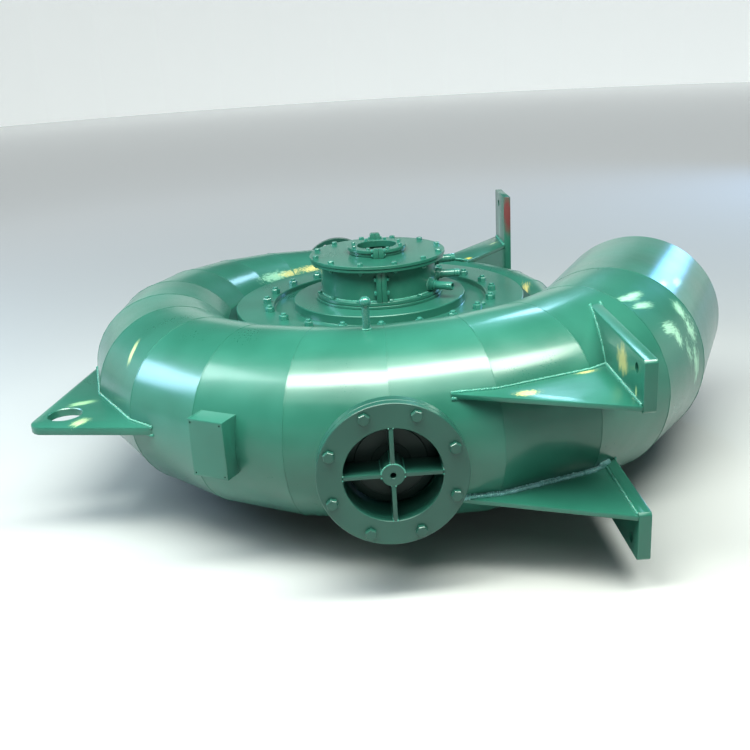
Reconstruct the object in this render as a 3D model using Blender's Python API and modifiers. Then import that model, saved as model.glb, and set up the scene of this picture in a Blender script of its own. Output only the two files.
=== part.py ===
# Francis turbine: welded spiral case with inlet pipe, stay ring, head cover, bearing housing,
# relief valve port, feet, lifting lug and draft tube flange. Metres, +Z up.
# Every size below is measured from the turbine's axis and from the mid-plane of the spiral.
import math

import bmesh
import bpy
from mathutils import Matrix, Vector

FIT = 0.0003                 # clearance between pieces that touch

# Where the turbine's axis and mid-plane stand over the middle of the footprint
AXIS_X = -0.0586
AXIS_Y = 0.0535
MID_HEIGHT = 0.314

# Spiral case: mitred courses of bent plate, in degrees about the axis, from the inlet backwards
WALL = 0.010
INLET_SEAM = -27.8
COURSE = 16.0
TAIL_END = -376.0
PORT_AZIMUTH = -92.28
PORT_RADIUS = 0.2409         # outer radius of the section at the relief port
TAPER = 0.000327             # loss of radius per degree
TAIL_START = -187.8          # the spiral closes faster beyond this seam
TAIL_TAPER = 0.00042
TAIL_CURVE = 2.5e-6
TAIL_LEAST_DEPTH = 0.060
TAIL_LEAST_HEIGHT = 0.128    # half height: the tail turns oval, to stay on the stay ring
ARC_STEPS = 26

# Steps round a full turn; pieces that fit into each other share them
RING_STEPS = 64              # stay ring and both covers
FLANGE_STEPS = 48
STUB_STEPS = 40
COLLAR_STEPS = 32
NIPPLE_STEPS = 20

# Inlet pipe, a straight course after the first seam
INLET_END_X = 0.8248
INLET_END_Y = 0.0669
INLET_END_RADIUS = 0.2574
INLET_END_FACING = -24.4     # direction of the rim's outer side
PIPE_STEPS = 48

# Stay ring
RING_INNER = 0.318
RING_OUTER = 0.4876
RING_TOP = 0.111
RING_UNDER = 0.080
LIP_RADIUS = 0.4705          # where the case lands on the ring
VANES = 8
VANE_INNER = 0.345
VANE_OUTER = 0.470
VANE_THICK = 0.014
VANE_SWEEP = 22.0
VANE_SINK = 0.002            # how far a vane runs into each ring

# Head cover and its mirror below
COVER_OUTER = 0.441
COVER_TOP = 0.139
RECESS_OUTER = 0.3266
RECESS_FLOOR = 0.122
HUB_RADIUS = 0.263
HUB_TOP = 0.150
COVER_UNDER = 0.094
SPIGOT_INNER = 0.296
SHAFT_BORE = 0.100

# Bearing housing
BASE_RADIUS = 0.195
BASE_TOP = 0.158
FOOT_FLANGE_RADIUS = 0.190
FOOT_FLANGE_TOP = 0.169
BODY_RADIUS = 0.175
BODY_TOP = 0.260
BODY_WALL = 0.014
TOP_FLANGE_RADIUS = 0.203
TOP_FLANGE_TOP = 0.270
TOP_FLANGE_BORE = 0.130
SPLIT_FLANGE_WIDTH = 0.031
SPLIT_FLANGE_REACH = 0.191
SPLIT_FLANGE_SINK = 0.002
LID_RADIUS = 0.2055
LID_TOP = 0.280
LID_BORE = 0.078
COLLAR_NECK = 0.084
COLLAR_NECK_TOP = 0.291
COLLAR_FLANGE = 0.089
COLLAR_TOP = 0.301
COLLAR_BORE = 0.0595
CLAMP_WIDTH = 0.032
CLAMP_INNER = 0.080
CLAMP_OUTER = 0.108
CLAMP_TOP = 0.317

# Hose nipples on the housing: azimuth, height
NIPPLES = ((-32.0, 0.189), (0.0, 0.197), (14.5, 0.231))
NIPPLE_RADIUS = 0.0130
NIPPLE_NECK = 0.0110
NIPPLE_BOSS = 0.0185
NIPPLE_BORE = 0.0080
NIPPLE_BOSS_END = 0.191
NIPPLE_BARB = 0.010
NIPPLE_REACH = 0.251

# Ball-headed post on the crest of the case
POST_X = -0.064
POST_Y = -0.678
POST_RADIUS = 0.0095
BALL_RADIUS = 0.014
BALL_HEIGHT = 0.308
BALL_STEPS = 8

# Relief valve port at the front
PORT_X = -0.034
PORT_FACE_Y = -0.9974
PORT_FLANGE_RADIUS = 0.170
PORT_FLANGE_THICK = 0.020
PORT_BACK_THICK = 0.024
PORT_BORE = 0.111
NECK_RADIUS = 0.121
NECK_WALL = 0.009
NECK_LENGTH = 0.160
SPIDER_DEPTH = 0.075
SPIDER_RIBS = 4
SPIDER_RIB = 0.010
SPIDER_HUB = 0.026
SPIDER_HOLE = 0.0065
DISC_RADIUS = 0.103
DISC_THICK = 0.012

# Feet: sole plates across X, gussets level above and below the mid-plane
SOLE_X = 0.500
SOLE_THICK = 0.030
REAR_SOLE_THICK = 0.024
GUSSET_TOP = 0.136
GUSSET_THICK = 0.012
SOLE_HOLE = 0.011
FRONT_SOLE_Y = -1.037
FRONT_SOLE_INNER_Y = -0.500
FRONT_SOLE_TOP = 0.238
FRONT_SOLE_LOW = 0.118
FRONT_HOLE_Y = -0.985
FRONT_HOLE_Z = 0.205
REAR_SOLE_Y = (0.615, 0.800)
REAR_SOLE_TOP = 0.312
REAR_HOLE_Y = 0.727
REAR_HOLE_Z = 0.273
FRONT_GUSSET = ((0.111, -0.880), (0.4997, -1.037), (0.4997, -0.690), (0.130, -0.780))
REAR_GUSSET = ((0.334, 0.400), (0.4997, 0.609), (0.4997, 0.785), (0.270, 0.500))
REAR_WEB_START = (0.334, 0.400)
REAR_WEB_END = (0.4997, 0.609)

# Lifting lug in the mid-plane
LUG_THICK = 0.022
LUG_TIP = (-0.902, -0.544)
LUG_TIP_RADIUS = 0.040
LUG_FRONT = (-0.560, -0.650)
LUG_BACK = (-0.858, -0.091)
LUG_ROOT = ((-0.760, -0.090), (-0.560, -0.560))
LUG_HOLE = (-0.866, -0.500)
LUG_HOLE_RADIUS = 0.044
LUG_TIP_STEPS = 8

# Folded pad for the name-plate, which is left bare
PAD_AZIMUTH = -119.0
PAD_RADIUS = 0.940
PAD_HEIGHT = 0.018
PAD_WIDTH = 0.098
PAD_TALL = 0.145
PAD_SHEET = 0.004
PAD_LEG = 0.075

# Flanged stub at the back of the case
STUB_X = -0.120
STUB_FACE_Y = 0.930
STUB_FLANGE_RADIUS = 0.1425
STUB_FLANGE_THICK = 0.022
STUB_RADIUS = 0.084
STUB_WALL = 0.007
STUB_LENGTH = 0.260
STUB_SETBACK = 0.002         # the pipe's end lies a little behind the flange's face

# Draft tube side
THROAT = 0.262
CONE_TOP_Z = -0.1393
CONE_LOW_RADIUS = 0.275
CONE_WALL = 0.010
DRAFT_FLANGE_OUTER = 0.330
DRAFT_FLANGE_THICK = 0.028

GREEN = (0.050, 0.330, 0.210)
DEEP_GREEN = (0.035, 0.230, 0.160)


def paint(name, colour):
    finish = bpy.data.materials.new(name + "_enamel")
    finish.use_nodes = True
    shader = finish.node_tree.nodes["Principled BSDF"]
    shader.inputs["Base Color"].default_value = (*colour, 1.0)
    shader.inputs["Roughness"].default_value = 0.28
    shader.inputs["Metallic"].default_value = 0.0
    return finish


class Workshop:
    """Holds the two collections and the empty that stands on the turbine's axis."""

    def __init__(self):
        self.parts = bpy.data.collections.new("francis_turbine_spiral_case")
        self.tools = bpy.data.collections.new("cutters")
        bpy.context.scene.collection.children.link(self.parts)
        bpy.context.scene.collection.children.link(self.tools)
        self.axis = bpy.data.objects.new("turbine_axis", None)
        self.axis.location = (AXIS_X, AXIS_Y, MID_HEIGHT)
        self.parts.objects.link(self.axis)

    def part(self, name, mesh, place=Matrix(), colour=GREEN):
        mesh.name = name
        mesh.materials.append(paint(name, colour))
        made = bpy.data.objects.new(name, mesh)
        self.parts.objects.link(made)
        made.parent = self.axis
        made.matrix_local = place
        return made

    def tool(self, name, mesh, place=Matrix()):
        made = bpy.data.objects.new(name, mesh)
        self.tools.objects.link(made)
        made.parent = self.axis
        made.matrix_local = place
        made.hide_render = True
        made.display_type = "WIRE"
        return made


def boolean(target, other, operation):
    step = target.modifiers.new(operation.lower() + "_" + other.name, "BOOLEAN")
    step.operation = operation
    step.object = other


def mesh_from(shape, name="shape"):
    bmesh.ops.recalc_face_normals(shape, faces=shape.faces)
    mesh = bpy.data.meshes.new(name)
    shape.to_mesh(mesh)
    shape.free()
    return mesh


def smooth(mesh, angle=35.0):
    mesh.shade_smooth()
    mesh.set_sharp_from_angle(angle=math.radians(angle))
    return mesh


def block(size, centre):
    shape = bmesh.new()
    stretch = Matrix.Translation(centre) @ Matrix.Diagonal((*size, 1.0))
    bmesh.ops.create_cube(shape, size=1.0, matrix=stretch)
    return mesh_from(shape)


def rod(radius, length, steps=24):
    shape = bmesh.new()
    bmesh.ops.create_cone(shape, cap_ends=True, segments=steps,
                          radius1=radius, radius2=radius, depth=length)
    return smooth(mesh_from(shape))


def turned(work, name, profile, steps, place=Matrix(), colour=GREEN, closed=True):
    """A profile of (radius, height) points, turned about local Z; an open one ends on the axis."""
    mesh = bpy.data.meshes.new(name)
    count = len(profile)
    edges = [(i, (i + 1) % count) for i in range(count if closed else count - 1)]
    mesh.from_pydata([(radius, 0.0, height) for radius, height in profile], edges, [])
    made = work.part(name, mesh, place, colour)
    screw = made.modifiers.new("turn", "SCREW")
    screw.steps = steps
    screw.render_steps = steps
    screw.use_merge_vertices = True
    screw.merge_threshold = 0.00001
    screw.use_smooth_shade = True
    return made


def ring_profile(inner, outer, low, high):
    """Outer side first, from the top down, so that the turned ring faces outwards."""
    return [(outer, high), (outer, low), (inner, low), (inner, high)]


def plate(outline, thick, name):
    """A flat plate cut to an outline, lying level with its middle at height 0."""
    curve = bpy.data.curves.new(name, "CURVE")
    curve.dimensions = "2D"
    curve.fill_mode = "BOTH"
    curve.extrude = thick / 2
    line = curve.splines.new("POLY")
    line.points.add(len(outline) - 1)
    for point, (x, y) in zip(line.points, outline):
        point.co = (x, y, 0.0, 1.0)
    line.use_cyclic_u = True
    drawn = bpy.data.objects.new(name, curve)
    bpy.context.scene.collection.objects.link(drawn)
    bpy.context.view_layer.update()
    evaluated = drawn.evaluated_get(bpy.context.evaluated_depsgraph_get())
    mesh = bpy.data.meshes.new_from_object(evaluated)
    bpy.data.objects.remove(drawn)
    shape = bmesh.new()
    shape.from_mesh(mesh)
    bpy.data.meshes.remove(mesh)
    bmesh.ops.remove_doubles(shape, verts=shape.verts, dist=0.00001)
    return mesh_from(shape, name)


def along(direction):
    """Turns local Z to a direction."""
    return Vector((0.0, 0.0, 1.0)).rotation_difference(Vector(direction)).to_matrix().to_4x4()


def half_sizes(azimuth):
    """Radial and vertical half size of the case's outer surface at one azimuth."""
    past = TAIL_START - azimuth
    if past <= 0.0:
        radius = PORT_RADIUS + TAPER * (azimuth - PORT_AZIMUTH)
        return radius, radius
    start = PORT_RADIUS + TAPER * (TAIL_START - PORT_AZIMUTH)
    radius = start - TAIL_TAPER * past - TAIL_CURVE * past * past
    return max(radius, TAIL_LEAST_DEPTH), max(radius, TAIL_LEAST_HEIGHT)


def section_centre(depth, height):
    """The section's outer line crosses the stay ring's top at the lip radius."""
    return LIP_RADIUS + depth * math.sqrt(1.0 - ((RING_TOP + FIT) / height) ** 2)


def arc_points(azimuth, centre, depth, height):
    """Points of one open arc, from the upper lip over the outside to the lower lip."""
    angle = math.radians(azimuth)
    start = math.pi - math.asin((RING_TOP + FIT) / height)
    points = []
    for step in range(ARC_STEPS + 1):
        turn = start - 2.0 * start * step / ARC_STEPS
        radius = centre + depth * math.cos(turn)
        level = height * math.sin(turn)
        points.append(Vector((radius * math.cos(angle), radius * math.sin(angle), level)))
    return points


def case_section(azimuth, wall):
    depth, height = half_sizes(azimuth)
    centre = section_centre(depth, height)
    return arc_points(azimuth, centre, depth - wall, height - wall)


def pipe_rings(extra):
    """Circles at the first seam and at the open end, outer radius plus an extra."""
    depth, height = half_sizes(INLET_SEAM)
    seam = math.radians(INLET_SEAM)
    centre = section_centre(depth, height)
    first = (Vector((centre * math.cos(seam), centre * math.sin(seam), 0.0)), seam, depth)
    last = (Vector((INLET_END_X, INLET_END_Y, 0.0)), math.radians(INLET_END_FACING), INLET_END_RADIUS)
    rings = []
    for middle, facing, radius in (first, last):
        side = Vector((math.cos(facing), math.sin(facing), 0.0)) * (radius + extra)
        rise = Vector((0.0, 0.0, radius + extra))
        turns = [math.tau * step / PIPE_STEPS for step in range(PIPE_STEPS)]
        rings.append([middle + side * math.cos(turn) + rise * math.sin(turn) for turn in turns])
    return rings


def lofted_wall(outer, inner, closed):
    """A bent plate between rows of points on its outer and its inner side."""
    shape = bmesh.new()
    out = [[shape.verts.new(point) for point in row] for row in outer]
    into = [[shape.verts.new(point) for point in row] for row in inner]
    count = len(outer[0])
    spans = count if closed else count - 1
    for row in range(len(outer) - 1):
        for step in range(spans):
            after = (step + 1) % count
            for side in (out, into):
                shape.faces.new((side[row][step], side[row][after],
                                 side[row + 1][after], side[row + 1][step]))
        if not closed:
            for edge in (0, count - 1):
                shape.faces.new((out[row][edge], out[row + 1][edge],
                                 into[row + 1][edge], into[row][edge]))
    for end in (0, -1):
        for step in range(spans):
            after = (step + 1) % count
            shape.faces.new((out[end][step], out[end][after], into[end][after], into[end][step]))
    return smooth(mesh_from(shape), angle=25.0)


def lofted_solid(rows):
    """A solid between closed rows of points, with a flat face at each end."""
    shape = bmesh.new()
    made = [[shape.verts.new(point) for point in row] for row in rows]
    count = len(rows[0])
    for row in range(len(rows) - 1):
        for step in range(count):
            after = (step + 1) % count
            shape.faces.new((made[row][step], made[row][after],
                             made[row + 1][after], made[row + 1][step]))
    for end in (0, -1):
        shape.faces.new(made[end])
    return mesh_from(shape)


def seam_azimuths():
    seams = []
    azimuth = INLET_SEAM
    while azimuth > TAIL_END + COURSE / 4:
        seams.append(azimuth)
        azimuth -= COURSE
    return seams + [TAIL_END]


def make_envelopes(work):
    """The outside of the case and of the inlet pipe, for trimming what is welded to them."""
    rows = []
    for azimuth in seam_azimuths():
        rows.append(case_section(azimuth, -FIT))
    case = work.tool("case_envelope", lofted_solid(rows))
    pipe = work.tool("pipe_envelope", lofted_solid(pipe_rings(FIT)))
    return case, pipe


def make_case(work, pipe_envelope):
    """Courses two by two, the first alone, and the tail trimmed by the inlet pipe."""
    seams = seam_azimuths()
    bounds = [0, 1] + list(range(3, len(seams) - 3, 2)) + [len(seams) - 1]
    slip = math.degrees(FIT / 2 / LIP_RADIUS)
    courses = []
    for number, (first, last) in enumerate(zip(bounds, bounds[1:]), start=1):
        places = seams[first:last + 1]
        places[0] -= slip
        places[-1] += slip
        outer = [case_section(azimuth, 0.0) for azimuth in places]
        inner = [case_section(azimuth, WALL) for azimuth in places]
        courses.append(work.part(f"shell_course_{number:02d}", lofted_wall(outer, inner, False)))
    boolean(courses[-1], pipe_envelope, "DIFFERENCE")
    return courses


def make_inlet(work):
    outer = pipe_rings(0.0)
    inner = pipe_rings(-WALL)
    start = (outer[1][0] - outer[0][0]).normalized() * FIT
    outer[0] = [point + start for point in outer[0]]
    inner[0] = [point + start for point in inner[0]]
    pipe = work.part("inlet_pipe", lofted_wall(outer, inner, True))
    mouth = work.tool("mouth_to_stay_ring", rod(RING_OUTER + FIT, 2 * (RING_TOP + FIT), 2 * PIPE_STEPS))
    boolean(pipe, mouth, "DIFFERENCE")
    return pipe


def make_stay_ring(work):
    thick = ring_profile(RING_INNER, RING_OUTER, RING_UNDER, RING_TOP)
    upper = turned(work, "stay_ring", thick, RING_STEPS)
    mirrored = [(radius, level - RING_TOP - RING_UNDER) for radius, level in thick]
    lower = turned(work, "stay_ring_lower", mirrored, RING_STEPS)
    work.parts.objects.unlink(lower)
    work.tools.objects.link(lower)
    lower.hide_render = True
    lower.display_type = "WIRE"
    shape = bmesh.new()
    middle = (VANE_INNER + VANE_OUTER) / 2
    chord = (VANE_OUTER - VANE_INNER) / math.cos(math.radians(VANE_SWEEP))
    for number in range(VANES):
        turn = Matrix.Rotation(math.tau * (number + 0.5) / VANES, 4, "Z")
        sweep = Matrix.Rotation(math.radians(VANE_SWEEP), 4, "Z")
        size = Matrix.Diagonal((chord, VANE_THICK, 2 * (RING_UNDER + VANE_SINK), 1.0))
        place = turn @ Matrix.Translation((middle, 0.0, 0.0)) @ sweep @ size
        bmesh.ops.create_cube(shape, size=1.0, matrix=place)
    vanes = work.tool("stay_vanes", mesh_from(shape))
    boolean(upper, lower, "UNION")
    boolean(upper, vanes, "UNION")
    return upper


def make_covers(work):
    seat = RING_TOP + FIT
    spigot = RING_INNER - FIT
    top = [(HUB_RADIUS, HUB_TOP), (HUB_RADIUS, RECESS_FLOOR), (RECESS_OUTER, RECESS_FLOOR),
           (RECESS_OUTER, COVER_TOP), (COVER_OUTER, COVER_TOP), (COVER_OUTER, seat),
           (spigot, seat), (spigot, RING_UNDER), (SPIGOT_INNER, RING_UNDER),
           (SPIGOT_INNER, COVER_UNDER), (SHAFT_BORE, COVER_UNDER), (SHAFT_BORE, HUB_TOP)]
    turned(work, "head_cover", top, RING_STEPS)
    low = [(spigot, -RING_UNDER), (spigot, -seat), (COVER_OUTER, -seat), (COVER_OUTER, -COVER_TOP),
           (THROAT, -COVER_TOP), (THROAT, -RING_UNDER)]
    turned(work, "bottom_cover", low, RING_STEPS)


def make_draft_side(work):
    flange_low = -MID_HEIGHT
    flange_top = flange_low + DRAFT_FLANGE_THICK
    cone_low = flange_top + FIT
    cone = [(THROAT + CONE_WALL, CONE_TOP_Z), (CONE_LOW_RADIUS + CONE_WALL, cone_low),
            (CONE_LOW_RADIUS, cone_low), (THROAT, CONE_TOP_Z)]
    turned(work, "draft_cone", cone, FLANGE_STEPS)
    flange = ring_profile(CONE_LOW_RADIUS, DRAFT_FLANGE_OUTER, flange_low, flange_top)
    turned(work, "draft_flange", flange, FLANGE_STEPS)


def half_space(work, name, side):
    """A block that covers one side of the split plane, x = 0, for cutting a half away."""
    reach = 2 * LID_RADIUS
    return work.tool(name, block((reach, reach, reach), (side * (reach / 2 - FIT / 2), 0.0, HUB_TOP)))


def make_bearing(work):
    base = ring_profile(SHAFT_BORE, BASE_RADIUS, HUB_TOP + FIT, BASE_TOP)
    turned(work, "bearing_base", base, FLANGE_STEPS)
    foot = BASE_TOP + FIT
    bore = BODY_RADIUS - BODY_WALL
    body = [(TOP_FLANGE_RADIUS, TOP_FLANGE_TOP), (TOP_FLANGE_RADIUS, BODY_TOP), (BODY_RADIUS, BODY_TOP),
            (BODY_RADIUS, FOOT_FLANGE_TOP), (FOOT_FLANGE_RADIUS, FOOT_FLANGE_TOP),
            (FOOT_FLANGE_RADIUS, foot), (bore, foot), (bore, BODY_TOP),
            (TOP_FLANGE_BORE, BODY_TOP), (TOP_FLANGE_BORE, TOP_FLANGE_TOP)]
    depth = SPLIT_FLANGE_REACH - bore - SPLIT_FLANGE_SINK
    tall = BODY_TOP - FOOT_FLANGE_TOP + 2 * SPLIT_FLANGE_SINK
    lugs = []
    for side in (-1, 1):
        centre = (0.0, side * (SPLIT_FLANGE_REACH - depth / 2), (FOOT_FLANGE_TOP + BODY_TOP) / 2)
        lug = block((SPLIT_FLANGE_WIDTH, depth, tall), centre)
        lugs.append(work.tool(f"split_flange_{side}", lug))
    halves = []
    for name, away in (("bearing_housing_left", 1), ("bearing_housing_right", -1)):
        half = turned(work, name, body, FLANGE_STEPS)
        for lug in lugs:
            boolean(half, lug, "UNION")
        boolean(half, half_space(work, name + "_cut", away), "DIFFERENCE")
        halves.append(half)
    lid = ring_profile(LID_BORE, LID_RADIUS, TOP_FLANGE_TOP + FIT, LID_TOP)
    turned(work, "bearing_lid", lid, FLANGE_STEPS)
    return halves


def make_collar(work):
    low = LID_TOP + FIT
    profile = [(COLLAR_FLANGE, COLLAR_TOP), (COLLAR_FLANGE, COLLAR_NECK_TOP),
               (COLLAR_NECK, COLLAR_NECK_TOP), (COLLAR_NECK, low),
               (COLLAR_BORE, low), (COLLAR_BORE, COLLAR_TOP)]
    depth = CLAMP_OUTER - CLAMP_INNER
    clamps = []
    for side in (-1, 1):
        centre = (0.0, side * (CLAMP_INNER + depth / 2), (low + CLAMP_TOP) / 2)
        clamp = block((CLAMP_WIDTH, depth, CLAMP_TOP - low), centre)
        clamps.append(work.tool(f"clamp_block_{side}", clamp))
    for name, away in (("shaft_collar_left", 1), ("shaft_collar_right", -1)):
        half = turned(work, name, profile, COLLAR_STEPS)
        for clamp in clamps:
            boolean(half, clamp, "UNION")
        boolean(half, half_space(work, name + "_cut", away), "DIFFERENCE")


def make_nipples(work, housing, housing_envelope):
    root = BODY_RADIUS - BODY_WALL / 2
    for number, (azimuth, height) in enumerate(NIPPLES, start=1):
        angle = math.radians(azimuth)
        facing = Vector((math.cos(angle), math.sin(angle), 0.0))
        place = Matrix.Translation((0.0, 0.0, height)) @ along(facing)
        profile = [(NIPPLE_NECK, NIPPLE_REACH), (NIPPLE_RADIUS, NIPPLE_REACH - NIPPLE_BARB),
                   (NIPPLE_NECK, NIPPLE_REACH - 2 * NIPPLE_BARB), (NIPPLE_NECK, NIPPLE_BOSS_END),
                   (NIPPLE_BOSS, NIPPLE_BOSS_END), (NIPPLE_BOSS, root),
                   (NIPPLE_BORE, root), (NIPPLE_BORE, NIPPLE_REACH)]
        nipple = turned(work, f"hose_nipple_{number}", profile, NIPPLE_STEPS, place)
        boolean(nipple, housing_envelope, "DIFFERENCE")
        bore_place = place @ Matrix.Translation((0.0, 0.0, root))
        drill = rod(NIPPLE_BORE, 3 * BODY_WALL, NIPPLE_STEPS)
        bore = work.tool(f"nipple_bore_{number}", drill, bore_place)
        boolean(housing, bore, "DIFFERENCE")


def make_ball_post(work, envelope):
    low = half_sizes(PORT_AZIMUTH)[1] - WALL
    meet = BALL_HEIGHT - math.sqrt(BALL_RADIUS ** 2 - POST_RADIUS ** 2)
    below = math.acos(POST_RADIUS / BALL_RADIUS)
    profile = [(0.0, BALL_HEIGHT + BALL_RADIUS)]
    for step in range(1, BALL_STEPS):
        turn = math.pi / 2 - (math.pi / 2 + below) * step / BALL_STEPS
        profile.append((BALL_RADIUS * math.cos(turn), BALL_HEIGHT + BALL_RADIUS * math.sin(turn)))
    profile += [(POST_RADIUS, meet), (POST_RADIUS, low), (0.0, low)]
    place = Matrix.Translation((POST_X, POST_Y, 0.0))
    post = turned(work, "ball_post", profile, NIPPLE_STEPS, place, closed=False)
    boolean(post, envelope, "DIFFERENCE")


def port_place(depth):
    """Local Z looks out of the port; depth is measured behind its front face."""
    return Matrix.Translation((PORT_X, PORT_FACE_Y + depth, 0.0)) @ along((0.0, -1.0, 0.0))


def make_relief_port(work, envelope, course):
    behind = PORT_FLANGE_THICK + FIT
    front = ring_profile(PORT_BORE, PORT_FLANGE_RADIUS, -PORT_FLANGE_THICK, 0.0)
    turned(work, "relief_front_flange", front, FLANGE_STEPS, port_place(0.0), DEEP_GREEN)
    back = ring_profile(NECK_RADIUS + FIT, PORT_FLANGE_RADIUS, -PORT_BACK_THICK, 0.0)
    turned(work, "relief_back_flange", back, FLANGE_STEPS, port_place(behind), DEEP_GREEN)
    bore = NECK_RADIUS - NECK_WALL
    pipe = ring_profile(bore, NECK_RADIUS, -NECK_LENGTH, -FIT)
    neck = turned(work, "relief_neck", pipe, FLANGE_STEPS, port_place(behind))
    boolean(neck, envelope, "DIFFERENCE")
    drill = rod(bore, NECK_LENGTH * 2, FLANGE_STEPS)
    hole = work.tool("relief_hole", drill, port_place(NECK_LENGTH))
    boolean(course, hole, "DIFFERENCE")
    make_spider(work)
    disc_place = port_place(SPIDER_DEPTH + FIT + DISC_THICK / 2)
    work.part("relief_disc", rod(DISC_RADIUS, DISC_THICK, COLLAR_STEPS), disc_place, DEEP_GREEN)


def make_spider(work):
    hub = ring_profile(SPIDER_HOLE, SPIDER_HUB, -SPIDER_DEPTH, 0.0)
    spider = turned(work, "relief_spider", hub, NIPPLE_STEPS, port_place(0.0), DEEP_GREEN)
    shape = bmesh.new()
    reach = PORT_BORE - 2 * FIT
    inner = SPIDER_HUB - SPIDER_RIB / 2
    for number in range(SPIDER_RIBS):
        turn = Matrix.Rotation(math.tau * number / SPIDER_RIBS, 4, "Z")
        size = Matrix.Diagonal((reach - inner, SPIDER_RIB, SPIDER_DEPTH, 1.0))
        shift = Matrix.Translation(((reach + inner) / 2, 0.0, -SPIDER_DEPTH / 2))
        bmesh.ops.create_cube(shape, size=1.0, matrix=turn @ shift @ size)
    ribs = work.tool("spider_ribs", mesh_from(shape), port_place(0.0))
    boolean(spider, ribs, "UNION")


def make_feet(work, envelope):
    """Sole plates with bolt holes along X, and the level gussets that carry them."""
    middle = SOLE_X + SOLE_THICK / 2
    level = GUSSET_TOP - GUSSET_THICK / 2
    drill = rod(SOLE_HOLE, SOLE_THICK * 3, NIPPLE_STEPS)
    side = along((1.0, 0.0, 0.0))
    for name, sign in (("upper", 1), ("lower", -1)):
        length = FRONT_SOLE_INNER_Y - FRONT_SOLE_Y
        tall = FRONT_SOLE_TOP - FRONT_SOLE_LOW
        centre = (middle, FRONT_SOLE_Y + length / 2, sign * (FRONT_SOLE_LOW + tall / 2))
        sole = work.part(f"front_sole_{name}", block((SOLE_THICK, length, tall), centre))
        boolean(sole, envelope, "DIFFERENCE")
        place = Matrix.Translation((middle, FRONT_HOLE_Y, sign * FRONT_HOLE_Z)) @ side
        boolean(sole, work.tool(f"front_hole_{name}", drill, place), "DIFFERENCE")
        for where, outline in (("front", FRONT_GUSSET), ("rear", REAR_GUSSET)):
            title = f"{where}_gusset_{name}"
            raised = Matrix.Translation((0.0, 0.0, sign * level))
            gusset = work.part(title, plate(outline, GUSSET_THICK, title), raised)
            boolean(gusset, envelope, "DIFFERENCE")
    near, far = REAR_SOLE_Y
    centre = (SOLE_X + REAR_SOLE_THICK / 2, (near + far) / 2, 0.0)
    sole = work.part("rear_sole", block((REAR_SOLE_THICK, far - near, 2 * REAR_SOLE_TOP), centre))
    for sign in (-1, 1):
        place = Matrix.Translation((middle, REAR_HOLE_Y, sign * REAR_HOLE_Z)) @ side
        boolean(sole, work.tool(f"rear_hole_{sign}", drill, place), "DIFFERENCE")
    make_rear_web(work, envelope)


def make_rear_web(work, envelope):
    """An upright plate between the two rear gussets, under their near edges."""
    start = Vector((*REAR_WEB_START, 0.0))
    end = Vector((*REAR_WEB_END, 0.0))
    run = (end - start).normalized()
    inward = Vector((-run.y, run.x, 0.0)) * GUSSET_THICK
    outline = [start, end, end + inward, start + inward]
    outline[2] = end + inward - run * (inward.x / run.x)
    tall = 2 * (GUSSET_TOP - GUSSET_THICK - FIT)
    web = plate([(point.x, point.y) for point in outline], tall, "rear_web")
    made = work.part("rear_web", web)
    boolean(made, envelope, "DIFFERENCE")


def tangent_turn(point, side):
    """Where a straight edge from a point touches the lug's round tip, as an angle."""
    away = Vector(point) - Vector(LUG_TIP)
    return math.atan2(away.y, away.x) + side * math.acos(LUG_TIP_RADIUS / away.length)


def make_lug(work, envelope):
    """A flat ear with a round tip, its root trimmed by the case."""
    start = tangent_turn(LUG_FRONT, -1)
    sweep = (tangent_turn(LUG_BACK, 1) - start) % -math.tau
    outline = [LUG_FRONT]
    for step in range(LUG_TIP_STEPS + 1):
        turn = start + sweep * step / LUG_TIP_STEPS
        outline.append((LUG_TIP[0] + LUG_TIP_RADIUS * math.cos(turn),
                        LUG_TIP[1] + LUG_TIP_RADIUS * math.sin(turn)))
    outline += [LUG_BACK, *LUG_ROOT]
    lug = work.part("lifting_lug", plate(outline, LUG_THICK, "lifting_lug"))
    boolean(lug, envelope, "DIFFERENCE")
    hole = rod(LUG_HOLE_RADIUS, LUG_THICK * 3, COLLAR_STEPS)
    boolean(lug, work.tool("lug_hole", hole, Matrix.Translation((*LUG_HOLE, 0.0))), "DIFFERENCE")


def make_pad(work, envelope):
    """A folded sheet: a face and two legs that reach back to the case."""
    half = PAD_WIDTH / 2
    outline = [(-half, 0.0), (half, 0.0), (half, PAD_LEG), (half - PAD_SHEET, PAD_LEG),
               (half - PAD_SHEET, PAD_SHEET), (PAD_SHEET - half, PAD_SHEET),
               (PAD_SHEET - half, PAD_LEG), (-half, PAD_LEG)]
    angle = math.radians(PAD_AZIMUTH)
    place = Matrix.Translation((PAD_RADIUS * math.cos(angle), PAD_RADIUS * math.sin(angle), PAD_HEIGHT))
    place = place @ Matrix.Rotation(angle + math.pi / 2, 4, "Z")
    pad = work.part("nameplate_pad", plate(outline, PAD_TALL, "nameplate_pad"), place)
    boolean(pad, envelope, "DIFFERENCE")


def make_rear_stub(work, envelope, course):
    place = Matrix.Translation((STUB_X, STUB_FACE_Y, 0.0)) @ along((0.0, 1.0, 0.0))
    bore = STUB_RADIUS - STUB_WALL
    flange = ring_profile(STUB_RADIUS + FIT, STUB_FLANGE_RADIUS, -STUB_FLANGE_THICK, 0.0)
    turned(work, "rear_stub_flange", flange, STUB_STEPS, place)
    tube = ring_profile(bore, STUB_RADIUS, -STUB_LENGTH, -STUB_SETBACK)
    pipe = turned(work, "rear_stub_pipe", tube, STUB_STEPS, place)
    boolean(pipe, envelope, "DIFFERENCE")
    hole_place = place @ Matrix.Translation((0.0, 0.0, -STUB_LENGTH))
    hole = work.tool("stub_hole", rod(bore, STUB_LENGTH, STUB_STEPS), hole_place)
    boolean(course, hole, "DIFFERENCE")


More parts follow.
